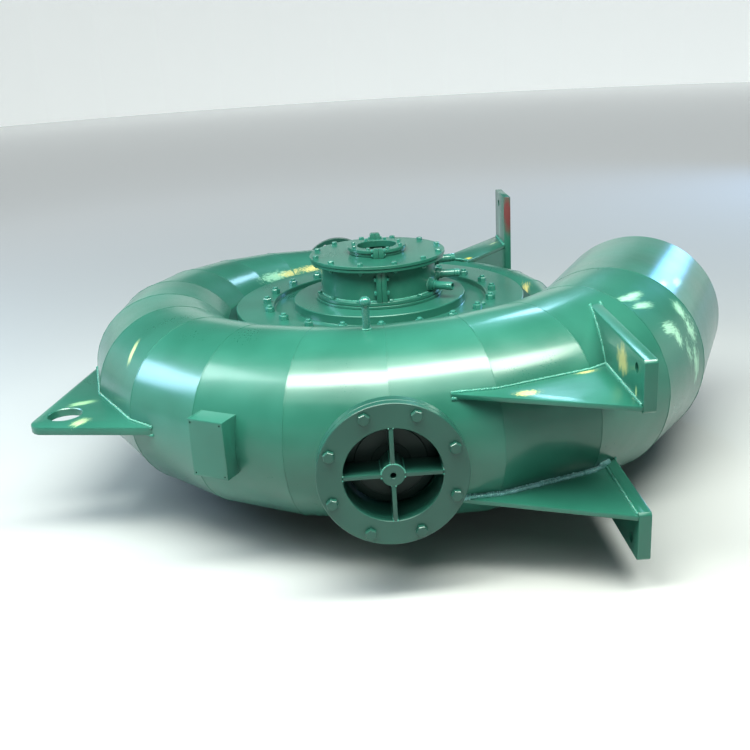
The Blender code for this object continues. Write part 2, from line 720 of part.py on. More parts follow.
def course_at(courses, azimuth):
    """The course whose span of seams holds an azimuth."""
    seams = seam_azimuths()
    number = sum(1 for seam in seams if seam > azimuth)
    return courses[number // 2]


def build():
    for thing in list(bpy.data.objects):
        bpy.data.objects.remove(thing)
    work = Workshop()
    case_envelope, pipe_envelope = make_envelopes(work)
    around_body = rod(BODY_RADIUS + FIT, 2 * MID_HEIGHT, FLANGE_STEPS)
    housing_envelope = work.tool("housing_envelope", around_body)
    courses = make_case(work, pipe_envelope)
    make_inlet(work)
    make_stay_ring(work)
    make_covers(work)
    make_draft_side(work)
    housing = make_bearing(work)
    make_collar(work)
    make_nipples(work, housing[1], housing_envelope)
    make_ball_post(work, case_envelope)
    make_relief_port(work, case_envelope, course_at(courses, PORT_AZIMUTH))
    make_feet(work, case_envelope)
    make_lug(work, case_envelope)
    make_pad(work, case_envelope)
    rear_azimuth = math.degrees(math.atan2(STUB_FACE_Y, STUB_X)) - 360.0
    make_rear_stub(work, case_envelope, course_at(courses, rear_azimuth))


build()
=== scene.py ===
# Spiral case assembly of a Francis turbine, dressed in glossy teal green machine enamel.
import math

import bmesh
import bpy
from mathutils import Matrix, Vector


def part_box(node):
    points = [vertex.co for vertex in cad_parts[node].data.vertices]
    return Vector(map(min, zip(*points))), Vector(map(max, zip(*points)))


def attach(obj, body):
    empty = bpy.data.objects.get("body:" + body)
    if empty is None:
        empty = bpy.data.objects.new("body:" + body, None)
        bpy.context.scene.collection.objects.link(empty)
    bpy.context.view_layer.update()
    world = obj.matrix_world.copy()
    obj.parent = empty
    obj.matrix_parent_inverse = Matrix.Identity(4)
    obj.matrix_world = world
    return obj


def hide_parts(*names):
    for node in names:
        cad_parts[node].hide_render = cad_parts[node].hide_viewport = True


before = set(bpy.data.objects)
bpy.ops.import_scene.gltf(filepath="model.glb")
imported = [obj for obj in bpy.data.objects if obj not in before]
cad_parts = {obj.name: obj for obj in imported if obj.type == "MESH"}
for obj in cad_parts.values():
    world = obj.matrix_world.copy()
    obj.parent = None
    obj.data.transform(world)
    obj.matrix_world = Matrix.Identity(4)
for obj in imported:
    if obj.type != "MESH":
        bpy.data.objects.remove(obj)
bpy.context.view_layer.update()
print("frame loaded:", len(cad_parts), "nodes")

scene = bpy.context.scene
fit = 0.0003  # clearance that the solids keep to each other
core = 0.0001  # radius that stands for the axis in a turned profile


def boxOf(node):
    low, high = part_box(node)
    return Vector(low), Vector(high)


lidLow, lidHigh = boxOf("bearing_lid")
ringLow, ringHigh = boxOf("stay_ring")
# the turbine's axis at the mid-plane of the spiral: every place below is measured from it
axisPoint = Vector(((lidLow.x + lidHigh.x) / 2, (lidLow.y + lidHigh.y) / 2, (ringLow.z + ringHigh.z) / 2))


def reach(node):
    # lowest and highest corner of a node, measured from the axis point
    return tuple(corner - axisPoint for corner in boxOf(node))


def ringSize(node):
    # outer radius, underside and top of a ring round the axis
    low, high = reach(node)
    return (high.x - low.x) / 2, low.z, high.z


def polar(radius, turn, height=0.0):
    return Vector((radius * math.cos(turn), radius * math.sin(turn), height))


def moved(*place):
    return Matrix.Translation(place)


def turnBy(angle, axis="Z"):
    return Matrix.Rotation(angle, 4, axis)


def along(*direction):
    # turns local Z into a direction
    return Vector((0.0, 0.0, 1.0)).rotation_difference(Vector(direction)).to_matrix().to_4x4()


def hexColour(text):
    channels = [int(text[i:i + 2], 16) / 255 for i in (1, 3, 5)]
    linear = [c / 12.92 if c <= 0.04045 else ((c + 0.055) / 1.055) ** 2.4 for c in channels]
    return (*linear, 1.0)


def addNode(tree, kind, settings=None, links=None):
    made = tree.nodes.new(kind)
    for key, value in (settings or {}).items():
        if isinstance(key, str) and hasattr(made, key):
            setattr(made, key, value)
        else:
            made.inputs[key].default_value = value
    for key, source in (links or {}).items():
        tree.links.new(source, made.inputs[key])
    return made


def outOf(tree, kind, settings=None, links=None):
    return addNode(tree, kind, settings, links).outputs[0]


def noiseOn(tree, where, scale, detail, roughness=0.5):
    return outOf(tree, "ShaderNodeTexNoise", {"Scale": scale, "Detail": detail, "Roughness": roughness},
                 {"Vector": where})


def rangeOn(tree, value, fromMin, fromMax, toMin=0.0, toMax=1.0):
    return outOf(tree, "ShaderNodeMapRange", {
        "From Min": fromMin, "From Max": fromMax, "To Min": toMin, "To Max": toMax}, {"Value": value})


def lengthOf(tree, vector):
    return addNode(tree, "ShaderNodeVectorMath", {"operation": "LENGTH"}, {0: vector}).outputs["Value"]


def mixOn(tree, share, first, second):
    # mixes two colours, the first of which may come from another node
    mix = addNode(tree, "ShaderNodeMix", {"data_type": "RGBA", 7: second}, {0: share})
    if isinstance(first, tuple):
        mix.inputs[6].default_value = first
    else:
        tree.links.new(first, mix.inputs[6])
    return mix.outputs[2]


# Finishes

def spotMask(tree, where, spot):
    # an oval patch with a ragged edge, brushed along its own X
    local = outOf(tree, "ShaderNodeMapping", {
        "vector_type": "TEXTURE", "Location": axisPoint + Vector(spot["at"]),
        "Rotation": [math.radians(angle) for angle in spot["turn"]], "Scale": spot["half"]}, {"Vector": where})
    distance = lengthOf(tree, local)
    stretched = outOf(tree, "ShaderNodeVectorMath", {"operation": "MULTIPLY", 1: spot["bristle"]}, {0: local})
    ragged = outOf(tree, "ShaderNodeMath", {"operation": "MULTIPLY_ADD", 1: spot["ragged"]},
                   {0: noiseOn(tree, stretched, 1.0, 4.0, 0.7), 2: distance})
    edge = 0.92 + spot["ragged"] * 0.5
    return rangeOn(tree, ragged, edge, edge - 0.55, 0.0, spot["strength"])


def enamelOn(name, look, spots=()):
    material = bpy.data.materials.new(name)
    material.use_nodes = True
    material.diffuse_color = hexColour(look["paint"])
    tree = material.node_tree
    tree.nodes.clear()
    where = addNode(tree, "ShaderNodeTexCoord").outputs["Object"]
    cloud = noiseOn(tree, where, 1.0 / look["patchSize"], 4.0)
    film = rangeOn(tree, cloud, 0.35, 0.68)
    colour = mixOn(tree, film, hexColour(look["paint"]), hexColour(look["thinPaint"]))
    grit = noiseOn(tree, where, 1.0 / look["gritSize"], 2.0)
    base = outOf(tree, "ShaderNodeMath", {"operation": "MULTIPLY", 1: 0.65}, {0: cloud})
    uneven = outOf(tree, "ShaderNodeMath", {"operation": "MULTIPLY_ADD", 1: 0.35}, {0: grit, 2: base})
    rough = rangeOn(tree, uneven, 0.30, 0.70, look["glossy"], look["satin"])
    for spot in spots:
        mask = spotMask(tree, where, spot)
        colour = mixOn(tree, mask, colour, hexColour(spot["colour"]))
        rough = outOf(tree, "ShaderNodeMix", {"data_type": "FLOAT", 3: 0.62}, {0: mask, 2: rough})
    dents = noiseOn(tree, where, 1.0 / look["dentSize"], 1.5)
    peel = noiseOn(tree, where, 1.0 / look["peelSize"], 1.0)
    swell = outOf(tree, "ShaderNodeBump", {"Strength": 1.0, "Distance": look["dentDepth"]}, {"Height": dents})
    skin = outOf(tree, "ShaderNodeBump", {"Strength": 1.0, "Distance": look["peelDepth"]},
                 {"Height": peel, "Normal": swell})
    shader = outOf(tree, "ShaderNodeBsdfPrincipled", {
        "Metallic": 0.0, "IOR": 1.52, "Coat Weight": look["coat"], "Coat Roughness": 0.16,
        "Specular IOR Level": 0.5}, {"Base Color": colour, "Roughness": rough, "Normal": skin})
    addNode(tree, "ShaderNodeOutputMaterial", {}, {"Surface": shader})
    return material


# machine enamel sprayed on bent steel plate: glossy, with orange peel and shallow dents of rolling
plateLook = {
    "paint": "#2b6b5a", "thinPaint": "#337766", "patchSize": 0.22, "gritSize": 0.004,
    "glossy": 0.26, "satin": 0.42, "peelSize": 0.006, "peelDepth": 0.00003,
    "dentSize": 0.15, "dentDepth": 0.0042, "coat": 0.62,
}
# the same enamel on turned steel: flatter and a little deeper in colour
turnedLook = dict(plateLook, paint="#2c6b5b", thinPaint="#347565", dentDepth=0.0004, satin=0.36)
# brushed on flange faces: satin, and darker in colour as painted shade on these upright faces
shadedFlangeLook = dict(plateLook, paint="#24564a", thinPaint="#295f52", dentDepth=0.0003, glossy=0.32, satin=0.46, coat=0.5)
# one thin coat inside the water way, its darker paint a painted shade on the stay ring and bottom cover
shadedWaterWayLook = dict(plateLook, paint="#1d4a40", thinPaint="#23574b", glossy=0.34, satin=0.50, coat=0.15)
# dull enamel deep inside the port, its very dark paint a painted shade in the recess
portShadeLook = dict(shadedWaterWayLook, paint="#17332c", thinPaint="#1c3d35", glossy=0.40, satin=0.55)
# enamel pooled on weld ripples: glossiest of all, and paler as a painted highlight along the beads
weldHighlightLook = dict(plateLook, paint="#3c8574", thinPaint="#4b9785", glossy=0.24, satin=0.36, dentDepth=0.0, coat=0.6)
# the one heavy, rough bead: pale bluish paint as a painted highlight, under a full coat
heavyWeldHighlightLook = dict(weldHighlightLook, paint="#6fa9a2", thinPaint="#8fc4c4", patchSize=0.02, glossy=0.18, satin=0.40, coat=1.0)
# enamel on bolt heads and nuts
boltLook = dict(plateLook, paint="#33786a", thinPaint="#3b8676", glossy=0.24, satin=0.36, dentDepth=0.0, coat=0.8)


def scuff(at, half, turn=0, colour="#a8d9bd", bristle=(0.9, 6.0, 0.6), ragged=3.2, strength=0.80, tilt=(0, 0)):
    # centre and half sizes in metres, turn about Z and tilt about X and Y in degrees
    return {"at": at, "half": half, "turn": (*tilt, turn), "colour": colour, "bristle": bristle,
            "ragged": ragged, "strength": strength}


primer = "#d8cd86"
chipped = (5.0, 5.0, 0.8)
scuffs = {
    "elbow": (
        scuff((0.614, -0.535, 0.229), (0.050, 0.014, 0.05), 35),
        scuff((0.640, -0.505, 0.228), (0.045, 0.012, 0.05), 42),
        scuff((0.652, -0.540, 0.208), (0.052, 0.012, 0.05), 40),
        scuff((0.720, -0.553, 0.148), (0.040, 0.016, 0.05), 45),
        scuff((0.779, -0.456, 0.165), (0.026, 0.026, 0.050), 48, bristle=chipped),
        scuff((0.800, -0.470, 0.105), (0.030, 0.030, 0.050), 48, bristle=chipped),
        scuff((0.745, -0.545, 0.118), (0.024, 0.024, 0.040), 45, bristle=chipped),
        scuff((0.812, -0.498, 0.030), (0.026, 0.026, 0.060), 50, bristle=chipped),
        scuff((0.780, -0.520, 0.055), (0.022, 0.022, 0.050), 50, bristle=chipped)),
    "inlet": (
        scuff((0.758, -0.383, 0.220), (0.050, 0.013, 0.05), 60),
        scuff((0.825, -0.303, 0.200), (0.055, 0.013, 0.05), 62)),
    "back": (
        scuff((-0.340, 0.352, 0.141), (0.085, 0.020, 0.04), 41, bristle=(5.0, 7.0, 1.0), strength=0.55),
        scuff((-0.290, 0.395, 0.138), (0.060, 0.013, 0.04), 40, primer, (5.0, 6.0, 1.0), strength=0.6),
        scuff((-0.215, 0.442, 0.137), (0.055, 0.015, 0.04), 28, primer, (5.0, 6.0, 1.0), strength=0.7)),
    "left": (
        scuff((-0.676, -0.457, 0.155), (0.050, 0.013, 0.05), 60, "#c9d49a", (0.8, 4.0, 1.0), 1.4, tilt=(-30, -34)),),
    "crotch": (
        scuff((0.463, 0.050, 0.128), (0.060, 0.020, 0.03), 80, primer),),
    "foot": (
        scuff((0.500, -0.880, 0.188), (0.02, 0.052, 0.042), 0, "#cfc282", (1.0, 3.4, 1.4), 1.5),
        scuff((0.500, -0.985, 0.150), (0.02, 0.010, 0.018), 0, "#c9d49a", ragged=0.8),
        scuff((0.278, -0.909, 0.136), (0.034, 0.020, 0.02), 12, primer, (4.0, 5.0, 1.0)),
        scuff((0.440, -0.800, 0.136), (0.034, 0.012, 0.02), 20, primer, (4.0, 5.0, 1.0), strength=0.7),
        scuff((0.338, 0.435, 0.136), (0.030, 0.014, 0.02), 52, "#dccf62", ragged=0.9),
        scuff((0.465, 0.655, 0.136), (0.040, 0.007, 0.02), 50, "#9dbd8e", ragged=0.6),
        scuff((0.512, 0.615, 0.250), (0.03, 0.010, 0.10), 0, "#6e2226", (1.0, 2.0, 2.0), 1.2, 0.9),
        scuff((0.500, 0.720, 0.190), (0.01, 0.010, 0.08), ragged=0.9, strength=0.5)),
    "lug": (
        scuff((-0.812, -0.566, 0.011), (0.036, 0.022, 0.02), 62, "#b9d3a0", (0.8, 5.0, 1.0), 2.6),
        scuff((-0.838, -0.425, 0.011), (0.045, 0.020, 0.02), 20, "#a5cf9f", (0.8, 5.0, 1.0), 2.2, 0.75)),
}

finish = {"plate": enamelOn("sprayedEnamelOnPlate", plateLook)}
for part, spots in scuffs.items():
    finish[part] = enamelOn("sprayedEnamel" + part.title(), plateLook, spots)
for part, name, look in (
        ("turned", "enamelOnTurnedSteel", turnedLook), ("flange", "shadedEnamelOnFlange", shadedFlangeLook),
        ("wetted", "shadedEnamelInWaterWay", shadedWaterWayLook), ("weld", "highlitEnamelOnWeld", weldHighlightLook),
        ("bolt", "enamelOnBolts", boltLook), ("deep", "shadedEnamelInPort", portShadeLook),
        ("heavyWeld", "highlitEnamelOnHeavyWeld", heavyWeldHighlightLook)):
    finish[part] = enamelOn(name, look)
print("finishes made:", len(finish))


# Mesh tools

def linked(name, data):
    made = bpy.data.objects.new(name, data)
    scene.collection.objects.link(made)
    return made


def resultOf(thing):
    # the mesh that an object's modifiers give
    return bpy.data.meshes.new_from_object(thing.evaluated_get(bpy.context.evaluated_depsgraph_get()))


def dropObject(thing):
    used = thing.data
    bpy.data.objects.remove(thing)
    bpy.data.meshes.remove(used)


def meshFrom(shape, place=None, turnFaces=True):
    if turnFaces:
        bmesh.ops.recalc_face_normals(shape, faces=shape.faces)
    mesh = bpy.data.meshes.new("shape")
    shape.to_mesh(mesh)
    shape.free()
    if place:
        mesh.transform(place)
    return mesh


def joinMeshes(meshes):
    shape = bmesh.new()
    for mesh in meshes:
        shape.from_mesh(mesh)
        bpy.data.meshes.remove(mesh)
    return meshFrom(shape, turnFaces=False)


def dropCrumbs(mesh, smallest=0.01):
    # removes the slivers that a cut leaves loose, each under a share of the largest island's volume
    shape = bmesh.new()
    shape.from_mesh(mesh)
    left = set(shape.faces)
    islands = []
    while left:
        seed = left.pop()
        island, front = [seed], [seed]
        while front:
            for edge in front.pop().edges:
                if len(edge.link_faces) != 2:
                    continue
                for face in edge.link_faces:
                    if face in left:
                        left.remove(face)
                        island.append(face)
                        front.append(face)
        volume = sum(face.calc_center_median().dot(face.normal) * face.calc_area() / 3 for face in island)
        islands.append((abs(volume), island))
    largest = max(volume for volume, island in islands)
    crumbs = [face for volume, island in islands if volume < largest * smallest for face in island]
    if crumbs:
        bmesh.ops.delete(shape, geom=crumbs, context="FACES")
        shape.to_mesh(mesh)
    shape.free()


def cut(mesh, *cutters):
    # cutters are meshes in the same space; they are used up
    target = linked("target", mesh)
    helpers = [linked("cutter", cutter) for cutter in cutters]
    for helper in helpers:
        step = target.modifiers.new("cut", "BOOLEAN")
        step.operation = "DIFFERENCE"
        step.object = helper
    made = resultOf(target)
    for used in (target, *helpers):
        dropObject(used)
    dropCrumbs(made)
    return made


def addPiece(name, mesh, look, node=None, sharp=25.0):
    # puts a mesh, drawn round the axis point, in its place as a finished piece
    mesh.name = name
    mesh.transform(moved(*axisPoint))
    mesh.materials.clear()
    mesh.materials.append(finish[look])
    mesh.shade_smooth()
    mesh.set_sharp_from_angle(angle=math.radians(sharp))
    piece = linked(name, mesh)
    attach(piece, "root")
    if node:
        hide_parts(node)


def eased(profile, size):
    # breaks every corner of a closed outline by a small chamfer
    points = []
    for i, corner in enumerate(profile):
        here = Vector(corner)
        for other in (profile[i - 1], profile[(i + 1) % len(profile)]):
            away = Vector(other) - here
            points.append(tuple(here + away * min(size / away.length, 0.4)))
    return points


def strip(shape, near, far, closed=True):
    # a band of faces between two rows of corners
    for k in range(len(near) if closed else len(near) - 1):
        after = (k + 1) % len(near)
        shape.faces.new((near[k], near[after], far[after], far[k]))


def addSolid(shape, rows):
    # a closed solid through rows of points
    made = [[shape.verts.new(point) for point in row] for row in rows]
    for near, far in zip(made, made[1:]):
        strip(shape, near, far)
    for end in (0, -1):
        shape.faces.new(made[end])


def solidMesh(rows):
    shape = bmesh.new()
    addSolid(shape, rows)
    return meshFrom(shape)


def turnedMesh(profile, steps=192, ease=0.0015, place=None):
    # a closed profile of (radius, height) points turned about local Z
    outline = eased(profile, ease) if ease else profile
    shape = bmesh.new()
    rows = [[shape.verts.new(polar(r, math.tau * step / steps, z)) for r, z in outline] for step in range(steps)]
    for near, far in zip(rows, rows[1:] + rows[:1]):
        strip(shape, near, far)
    return meshFrom(shape, place)


def ringProfile(inner, outer, low, high):
    return [(outer, high), (outer, low), (inner, low), (inner, high)]


def rodMesh(radius, low, high, steps, place=None):
    shape = bmesh.new()
    bmesh.ops.create_cone(shape, cap_ends=True, segments=steps, radius1=radius, radius2=radius,
                          depth=high - low, matrix=moved(0.0, 0.0, (low + high) / 2))
    return meshFrom(shape, place)


def drillRing(count, circle, radius, low, high, steps):
    # rods for a ring of holes that straddle the X axis
    places = [moved(*polar(circle, math.tau * (number + 0.5) / count)) for number in range(count)]
    return joinMeshes([rodMesh(radius, low, high, steps, place) for place in places])


def plateMesh(outline, low, high, ease, place=None):
    # a plate cut to an outline in X and Y, its edges broken
    shape = bmesh.new()
    base = shape.faces.new([shape.verts.new((x, y, low)) for x, y in outline])
    raised = bmesh.ops.extrude_face_region(shape, geom=[base])
    corners = [item for item in raised["geom"] if isinstance(item, bmesh.types.BMVert)]
    bmesh.ops.translate(shape, verts=corners, vec=(0.0, 0.0, high - low))
    if ease:
        sharp = [edge for edge in shape.edges if edge.calc_face_angle(0.0) > 0.35]
        bmesh.ops.bevel(shape, geom=sharp, offset=ease, segments=2, profile=0.5, affect="EDGES")
    return meshFrom(shape, place)


# The spiral case: mitred courses whose section shrinks backwards from the inlet

spiral = {
    "wall": 0.010, "firstSeam": -27.8, "course": 16.0, "tailEnd": -376.0,
    "portAzimuth": -92.28, "portRadius": 0.2409, "taper": 0.000327,
    "tailStart": -187.8, "tailTaper": 0.00042, "tailCurve": 2.5e-6,
    "tailDepth": 0.060, "tailHeight": 0.128, "lipRadius": 0.4705, "arcSteps": 84,
    "seamWidth": 0.0044, "seamHeight": 0.0008, "seamSunk": 0.002, "plateSunk": 0.004,
}
ledge = ringHigh.z - axisPoint.z + fit  # the case lands on the stay ring's top


def halfSizes(azimuth):
    past = spiral["tailStart"] - azimuth
    if past <= 0.0:
        radius = spiral["portRadius"] + spiral["taper"] * (azimuth - spiral["portAzimuth"])
        return radius, radius
    start = spiral["portRadius"] + spiral["taper"] * (spiral["tailStart"] - spiral["portAzimuth"])
    radius = start - spiral["tailTaper"] * past - spiral["tailCurve"] * past * past
    return max(radius, spiral["tailDepth"]), max(radius, spiral["tailHeight"])


def lipCentre(depth, height):
    # radius of a section's centre, placed so that its lips land on the stay ring
    return spiral["lipRadius"] + depth * math.sqrt(1.0 - (ledge / height) ** 2)


def sectionPoints(azimuth, inset):
    # the section's open arc, from the upper lip over the outside to the lower lip
    depth, height = halfSizes(azimuth)
    centre, steps = lipCentre(depth, height), spiral["arcSteps"]
    turnStart = math.pi - math.asin(ledge / height)
    points = []
    for step in range(steps + 1):
        turn = turnStart - 2.0 * turnStart * step / steps
        radius = centre + (depth - inset) * math.cos(turn)
        points.append(polar(radius, math.radians(azimuth), (height - inset) * math.sin(turn)))
    return points


seams = []
azimuth = spiral["firstSeam"]
while azimuth > spiral["tailEnd"] + spiral["course"] / 4:
    seams.append(azimuth)
    azimuth -= spiral["course"]
seams.append(spiral["tailEnd"])


def shellPoint(azimuth, level):
    # on the outer surface of the straight course that holds the azimuth
    for first, last in zip(seams, seams[1:]):
        if last <= azimuth <= first:
            break
    ends = []
    for seam in (first, last):
        depth, height = halfSizes(seam)
        radius = lipCentre(depth, height) + depth * math.sqrt(max(0.0, 1.0 - (level / height) ** 2))
        ends.append(polar(radius, math.radians(seam)))
    ray = polar(1.0, math.radians(azimuth))
    run = ends[1] - ends[0]
    share = (ends[0].x * ray.y - ends[0].y * ray.x) / (run.y * ray.x - run.x * ray.y)
    place = ends[0] + run * share
    return Vector((place.x, place.y, level))


def courseMesh(outer, inner, closed=False):
    # a bent plate between rows of points on its outer and its inner side
    shape = bmesh.new()
    out, into = ([[shape.verts.new(point) for point in row] for row in side] for side in (outer, inner))
    for row in range(len(outer) - 1):
        for side in (out, into):
            strip(shape, side[row], side[row + 1], closed)
        if not closed:
            for edge in (0, -1):
                shape.faces.new((out[row][edge], out[row + 1][edge], into[row + 1][edge], into[row][edge]))
    for end in (0, -1):
        strip(shape, out[end], into[end], closed)
    return meshFrom(shape)


def between(rowA, rowB, share):
    return [a.lerp(b, share) for a, b in zip(rowA, rowB)]


inlet = {"endAt": (0.8248, 0.0669), "endRadius": 0.2574, "endFacing": -24.4, "steps": 144,
         "mouthRadius": 0.4876, "lip": 0.003}


def pipeRings(extra):
    # the pipe's round sections at the first seam and at its plain end
    facing, depth = spiral["firstSeam"], halfSizes(spiral["firstSeam"])[0]
    rings = []
    for middle, facing, radius in (
            (polar(lipCentre(depth, depth), math.radians(facing)), facing, depth),
            (Vector((*inlet["endAt"], 0.0)), inlet["endFacing"], inlet["endRadius"])):
        side = polar(radius + extra, math.radians(facing))
        rise = Vector((0.0, 0.0, radius + extra))
        turns = [math.tau * step / inlet["steps"] for step in range(inlet["steps"])]
        rings.append([middle + side * math.cos(turn) + rise * math.sin(turn) for turn in turns])
    return rings


portLow, portHigh = reach("relief_front_flange")
port = {
    "x": (portLow.x + portHigh.x) / 2, "faceY": portLow.y, "flangeRadius": (portHigh.z - portLow.z) / 2,
    "frontThick": 0.020, "backThick": 0.024, "bore": 0.111, "neckRadius": 0.121, "neckWall": 0.009,
    "neckLength": 0.160, "boltCircle": 0.149, "boltAcross": 0.024, "bolts": 8,
}
stubLow, stubHigh = reach("rear_stub_flange")
stub = {
    "x": (stubLow.x + stubHigh.x) / 2, "faceY": stubHigh.y, "flangeRadius": 0.1425, "flangeThick": 0.022,
    "radius": 0.084, "wall": 0.007, "length": 0.260, "boltCircle": 0.120, "boltHole": 0.009, "bolts": 8,
}


def portPlace(depth):
    # local Z looks out of the port
    return moved(port["x"], port["faceY"] + depth, 0.0) @ along(0.0, -1.0, 0.0)


stubPlace = moved(stub["x"], stub["faceY"], 0.0) @ along(0.0, 1.0, 0.0)


def cutToCase(mesh, *cutters):
    # ends a plate or pipe inside the shell's wall
    rows = [sectionPoints(azimuth, spiral["plateSunk"]) for azimuth in seams]
    return cut(mesh, solidMesh(rows), *cutters)


def makeCase():
    bounds = [0, 1, *range(3, len(seams) - 3, 2), len(seams) - 1]
    slip = math.degrees(fit / 2 / spiral["lipRadius"])
    looks = {1: "elbow", 5: "left", 7: "back", 8: "back", 11: "crotch"}
    holes = {3: rodMesh(port["bore"], -0.2, 0.2, 96, portPlace(port["neckLength"])),
             8: rodMesh(stub["radius"] - stub["wall"], -0.40, -0.10, 96, stubPlace),
             11: solidMesh(pipeRings(fit))}
    for number, (first, last) in enumerate(zip(bounds, bounds[1:]), start=1):
        parts = []
        for start, end in zip(seams[first:last], seams[first + 1:last + 1]):
            sides = []
            for inset in (0.0, spiral["wall"]):
                near, far = (sectionPoints(azimuth, inset) for azimuth in (start - slip, end + slip))
                sides.append([between(near, far, share / 3) for share in range(4)])
            parts.append(courseMesh(*sides))
        mesh = joinMeshes(parts)
        if number in holes:
            mesh = cut(mesh, holes[number])
        addPiece(f"caseCourse{number:02d}", mesh, looks.get(number, "plate"), f"shell_course_{number:02d}")


def makeSeams():
    # low weld beads over the mitres, ground nearly flush
    parts = []
    half, height, sunk = spiral["seamWidth"] / 2, spiral["seamHeight"], spiral["seamSunk"]
    outline = [(-half, -sunk), (-half * 0.7, height * 0.7), (0.0, height), (half * 0.7, height * 0.7), (half, -sunk)]
    for index, azimuth in enumerate(seams[:-1]):
        across = polar(1.0, math.radians(azimuth) + math.pi / 2)
        rows = []
        for step, (point, inside) in enumerate(zip(sectionPoints(azimuth, 0.0), sectionPoints(azimuth, 0.1))):
            out = (point - inside).normalized()
            waver = 0.0004 * math.sin(step * 1.7 + index) + 0.0003 * math.sin(step * 0.61 + 2 * index)
            thick = 1.0 + 0.35 * math.sin(step * 2.3 + index * 5.0)
            rows.append([point + across * (x + waver) + out * (y * thick if y > 0 else y) for x, y in outline])
        parts.append(solidMesh(rows))
    addPiece("caseSeams", joinMeshes(parts), "plate", sharp=60.0)


def makeInlet():
    outer, inner = pipeRings(0.0), pipeRings(-spiral["wall"])
    shift = (outer[1][0] - outer[0][0]).normalized() * fit
    for side in (outer, inner):
        side[0] = [point + shift for point in side[0]]
    lip = inlet["lip"] / (outer[1][0] - outer[0][0]).length
    rows = [0.0, 0.33, 0.66, 1.0 - lip]
    sides = []
    for side, rounding in ((outer, 0.25), (inner, 0.75)):
        sides.append([between(*side, share) for share in rows] + [between(outer[1], inner[1], rounding)])
    mouth = rodMesh(inlet["mouthRadius"] + fit, -ledge, ledge, 192)
    addPiece("inletPipe", cut(courseMesh(*sides, closed=True), mouth), "inlet", "inlet_pipe")


makeCase()
makeSeams()
makeInlet()
print("case and inlet pipe made")


# Stay ring, covers and the draft side

wheel = {
    "ringInner": 0.318, "ringOuter": 0.4876, "ringUnder": 0.080,
    "vanes": 8, "vaneInner": 0.345, "vaneOuter": 0.470, "vaneThick": 0.014, "vaneSweep": 22.0, "vaneSunk": 0.002,
    "recessOuter": 0.3266, "recessFloor": 0.122, "hubRadius": 0.263, "coverUnder": 0.094,
    "spigotInner": 0.296, "shaftBore": 0.100, "throat": 0.262, "coneLow": 0.275, "coneWall": 0.010,
    "draftBolts": 16, "draftBoltCircle": 0.305, "draftBoltHole": 0.0075,
}


def makeStayRing():
    top, under = ledge - fit, wheel["ringUnder"]
    parts = [turnedMesh(ringProfile(wheel["ringInner"], wheel["ringOuter"], *ends))
             for ends in ((under, top), (-top, -under))]
    half, sweep = wheel["vaneThick"] / 2, math.radians(wheel["vaneSweep"])
    length = (wheel["vaneOuter"] - wheel["vaneInner"]) / math.cos(sweep) / 2 - half
    outline = []
    for end in (1, -1):
        for step in range(9):
            turn = math.pi / 2 - math.pi * step / 8
            outline.append((end * (length + half * math.cos(turn)), end * half * math.sin(turn)))
    shift = moved((wheel["vaneInner"] + wheel["vaneOuter"]) / 2, 0.0, 0.0)
    tall = under + wheel["vaneSunk"]
    for number in range(wheel["vanes"]):
        place = turnBy(math.tau * (number + 0.5) / wheel["vanes"]) @ shift @ turnBy(sweep)
        parts.append(plateMesh(outline, -tall, tall, 0.0, place))
    addPiece("stayRing", joinMeshes(parts), "wetted", "stay_ring")


def makeCovers():
    outer, low, hubTop = ringSize("head_cover")
    coverTop = -ringSize("bottom_cover")[1]
    spigot, under, inner = wheel["ringInner"] - fit, wheel["ringUnder"], wheel["spigotInner"]
    hub, recess, floor = wheel["hubRadius"], wheel["recessOuter"], wheel["recessFloor"]
    bore, coverUnder, throat = wheel["shaftBore"], wheel["coverUnder"], wheel["throat"]
    head = [(hub, hubTop), (hub, floor), (recess, floor), (recess, coverTop), (outer, coverTop), (outer, ledge),
            (spigot, ledge), (spigot, under), (inner, under), (inner, coverUnder), (bore, coverUnder), (bore, hubTop)]
    addPiece("headCover", turnedMesh(head, 256, 0.0022), "turned", "head_cover")
    bottom = [(spigot, -under), (spigot, -ledge), (outer, -ledge), (outer, -coverTop), (throat, -coverTop),
              (throat, -under)]
    addPiece("bottomCover", turnedMesh(bottom), "wetted", "bottom_cover")


def makeDraftSide():
    outer, low, high = ringSize("draft_flange")
    coneTop = ringSize("draft_cone")[2]
    throat, inner, wall = wheel["throat"], wheel["coneLow"], wheel["coneWall"]
    cone = [(throat + wall, coneTop), (inner + wall, high + fit), (inner, high + fit), (throat, coneTop)]
    addPiece("draftCone", turnedMesh(cone), "plate", "draft_cone")
    flange = turnedMesh(ringProfile(inner, outer, low, high), 144, 0.002)
    drills = drillRing(wheel["draftBolts"], wheel["draftBoltCircle"], wheel["draftBoltHole"],
                       low - 0.01, high + 0.01, 20)
    addPiece("draftFlange", cut(flange, drills), "flange", "draft_flange")


makeStayRing()
makeCovers()
makeDraftSide()
print("stay ring, covers and draft side made")


# Bearing housing with its lid, collar and nipples

bearing = {
    "baseBore": 0.100, "footRadius": 0.190, "footTop": 0.169, "bodyRadius": 0.175, "bodyTop": 0.260,
    "wall": 0.014, "topRadius": 0.203, "topBore": 0.130, "splitWidth": 0.031, "splitInner": 0.170,
    "splitReach": 0.190, "flare": 0.008, "lidBore": 0.078, "neckRadius": 0.084, "neckTop": 0.291,
    "collarRadius": 0.089, "collarTop": 0.301, "collarBore": 0.0595, "clampWidth": 0.032,
    "clampInner": 0.080, "clampOuter": 0.108, "clampCorner": 0.004, "frontClampDrop": 0.009,
}
nipples = {
    "places": ((-32.0, 0.189), (0.0, 0.197), (14.5, 0.231)), "boreSpan": (0.15, 0.20),
    "radius": 0.0130, "neck": 0.0121, "boss": 0.0185, "bore": 0.0080, "reach": 0.251, "bossEnd": 0.191,
}


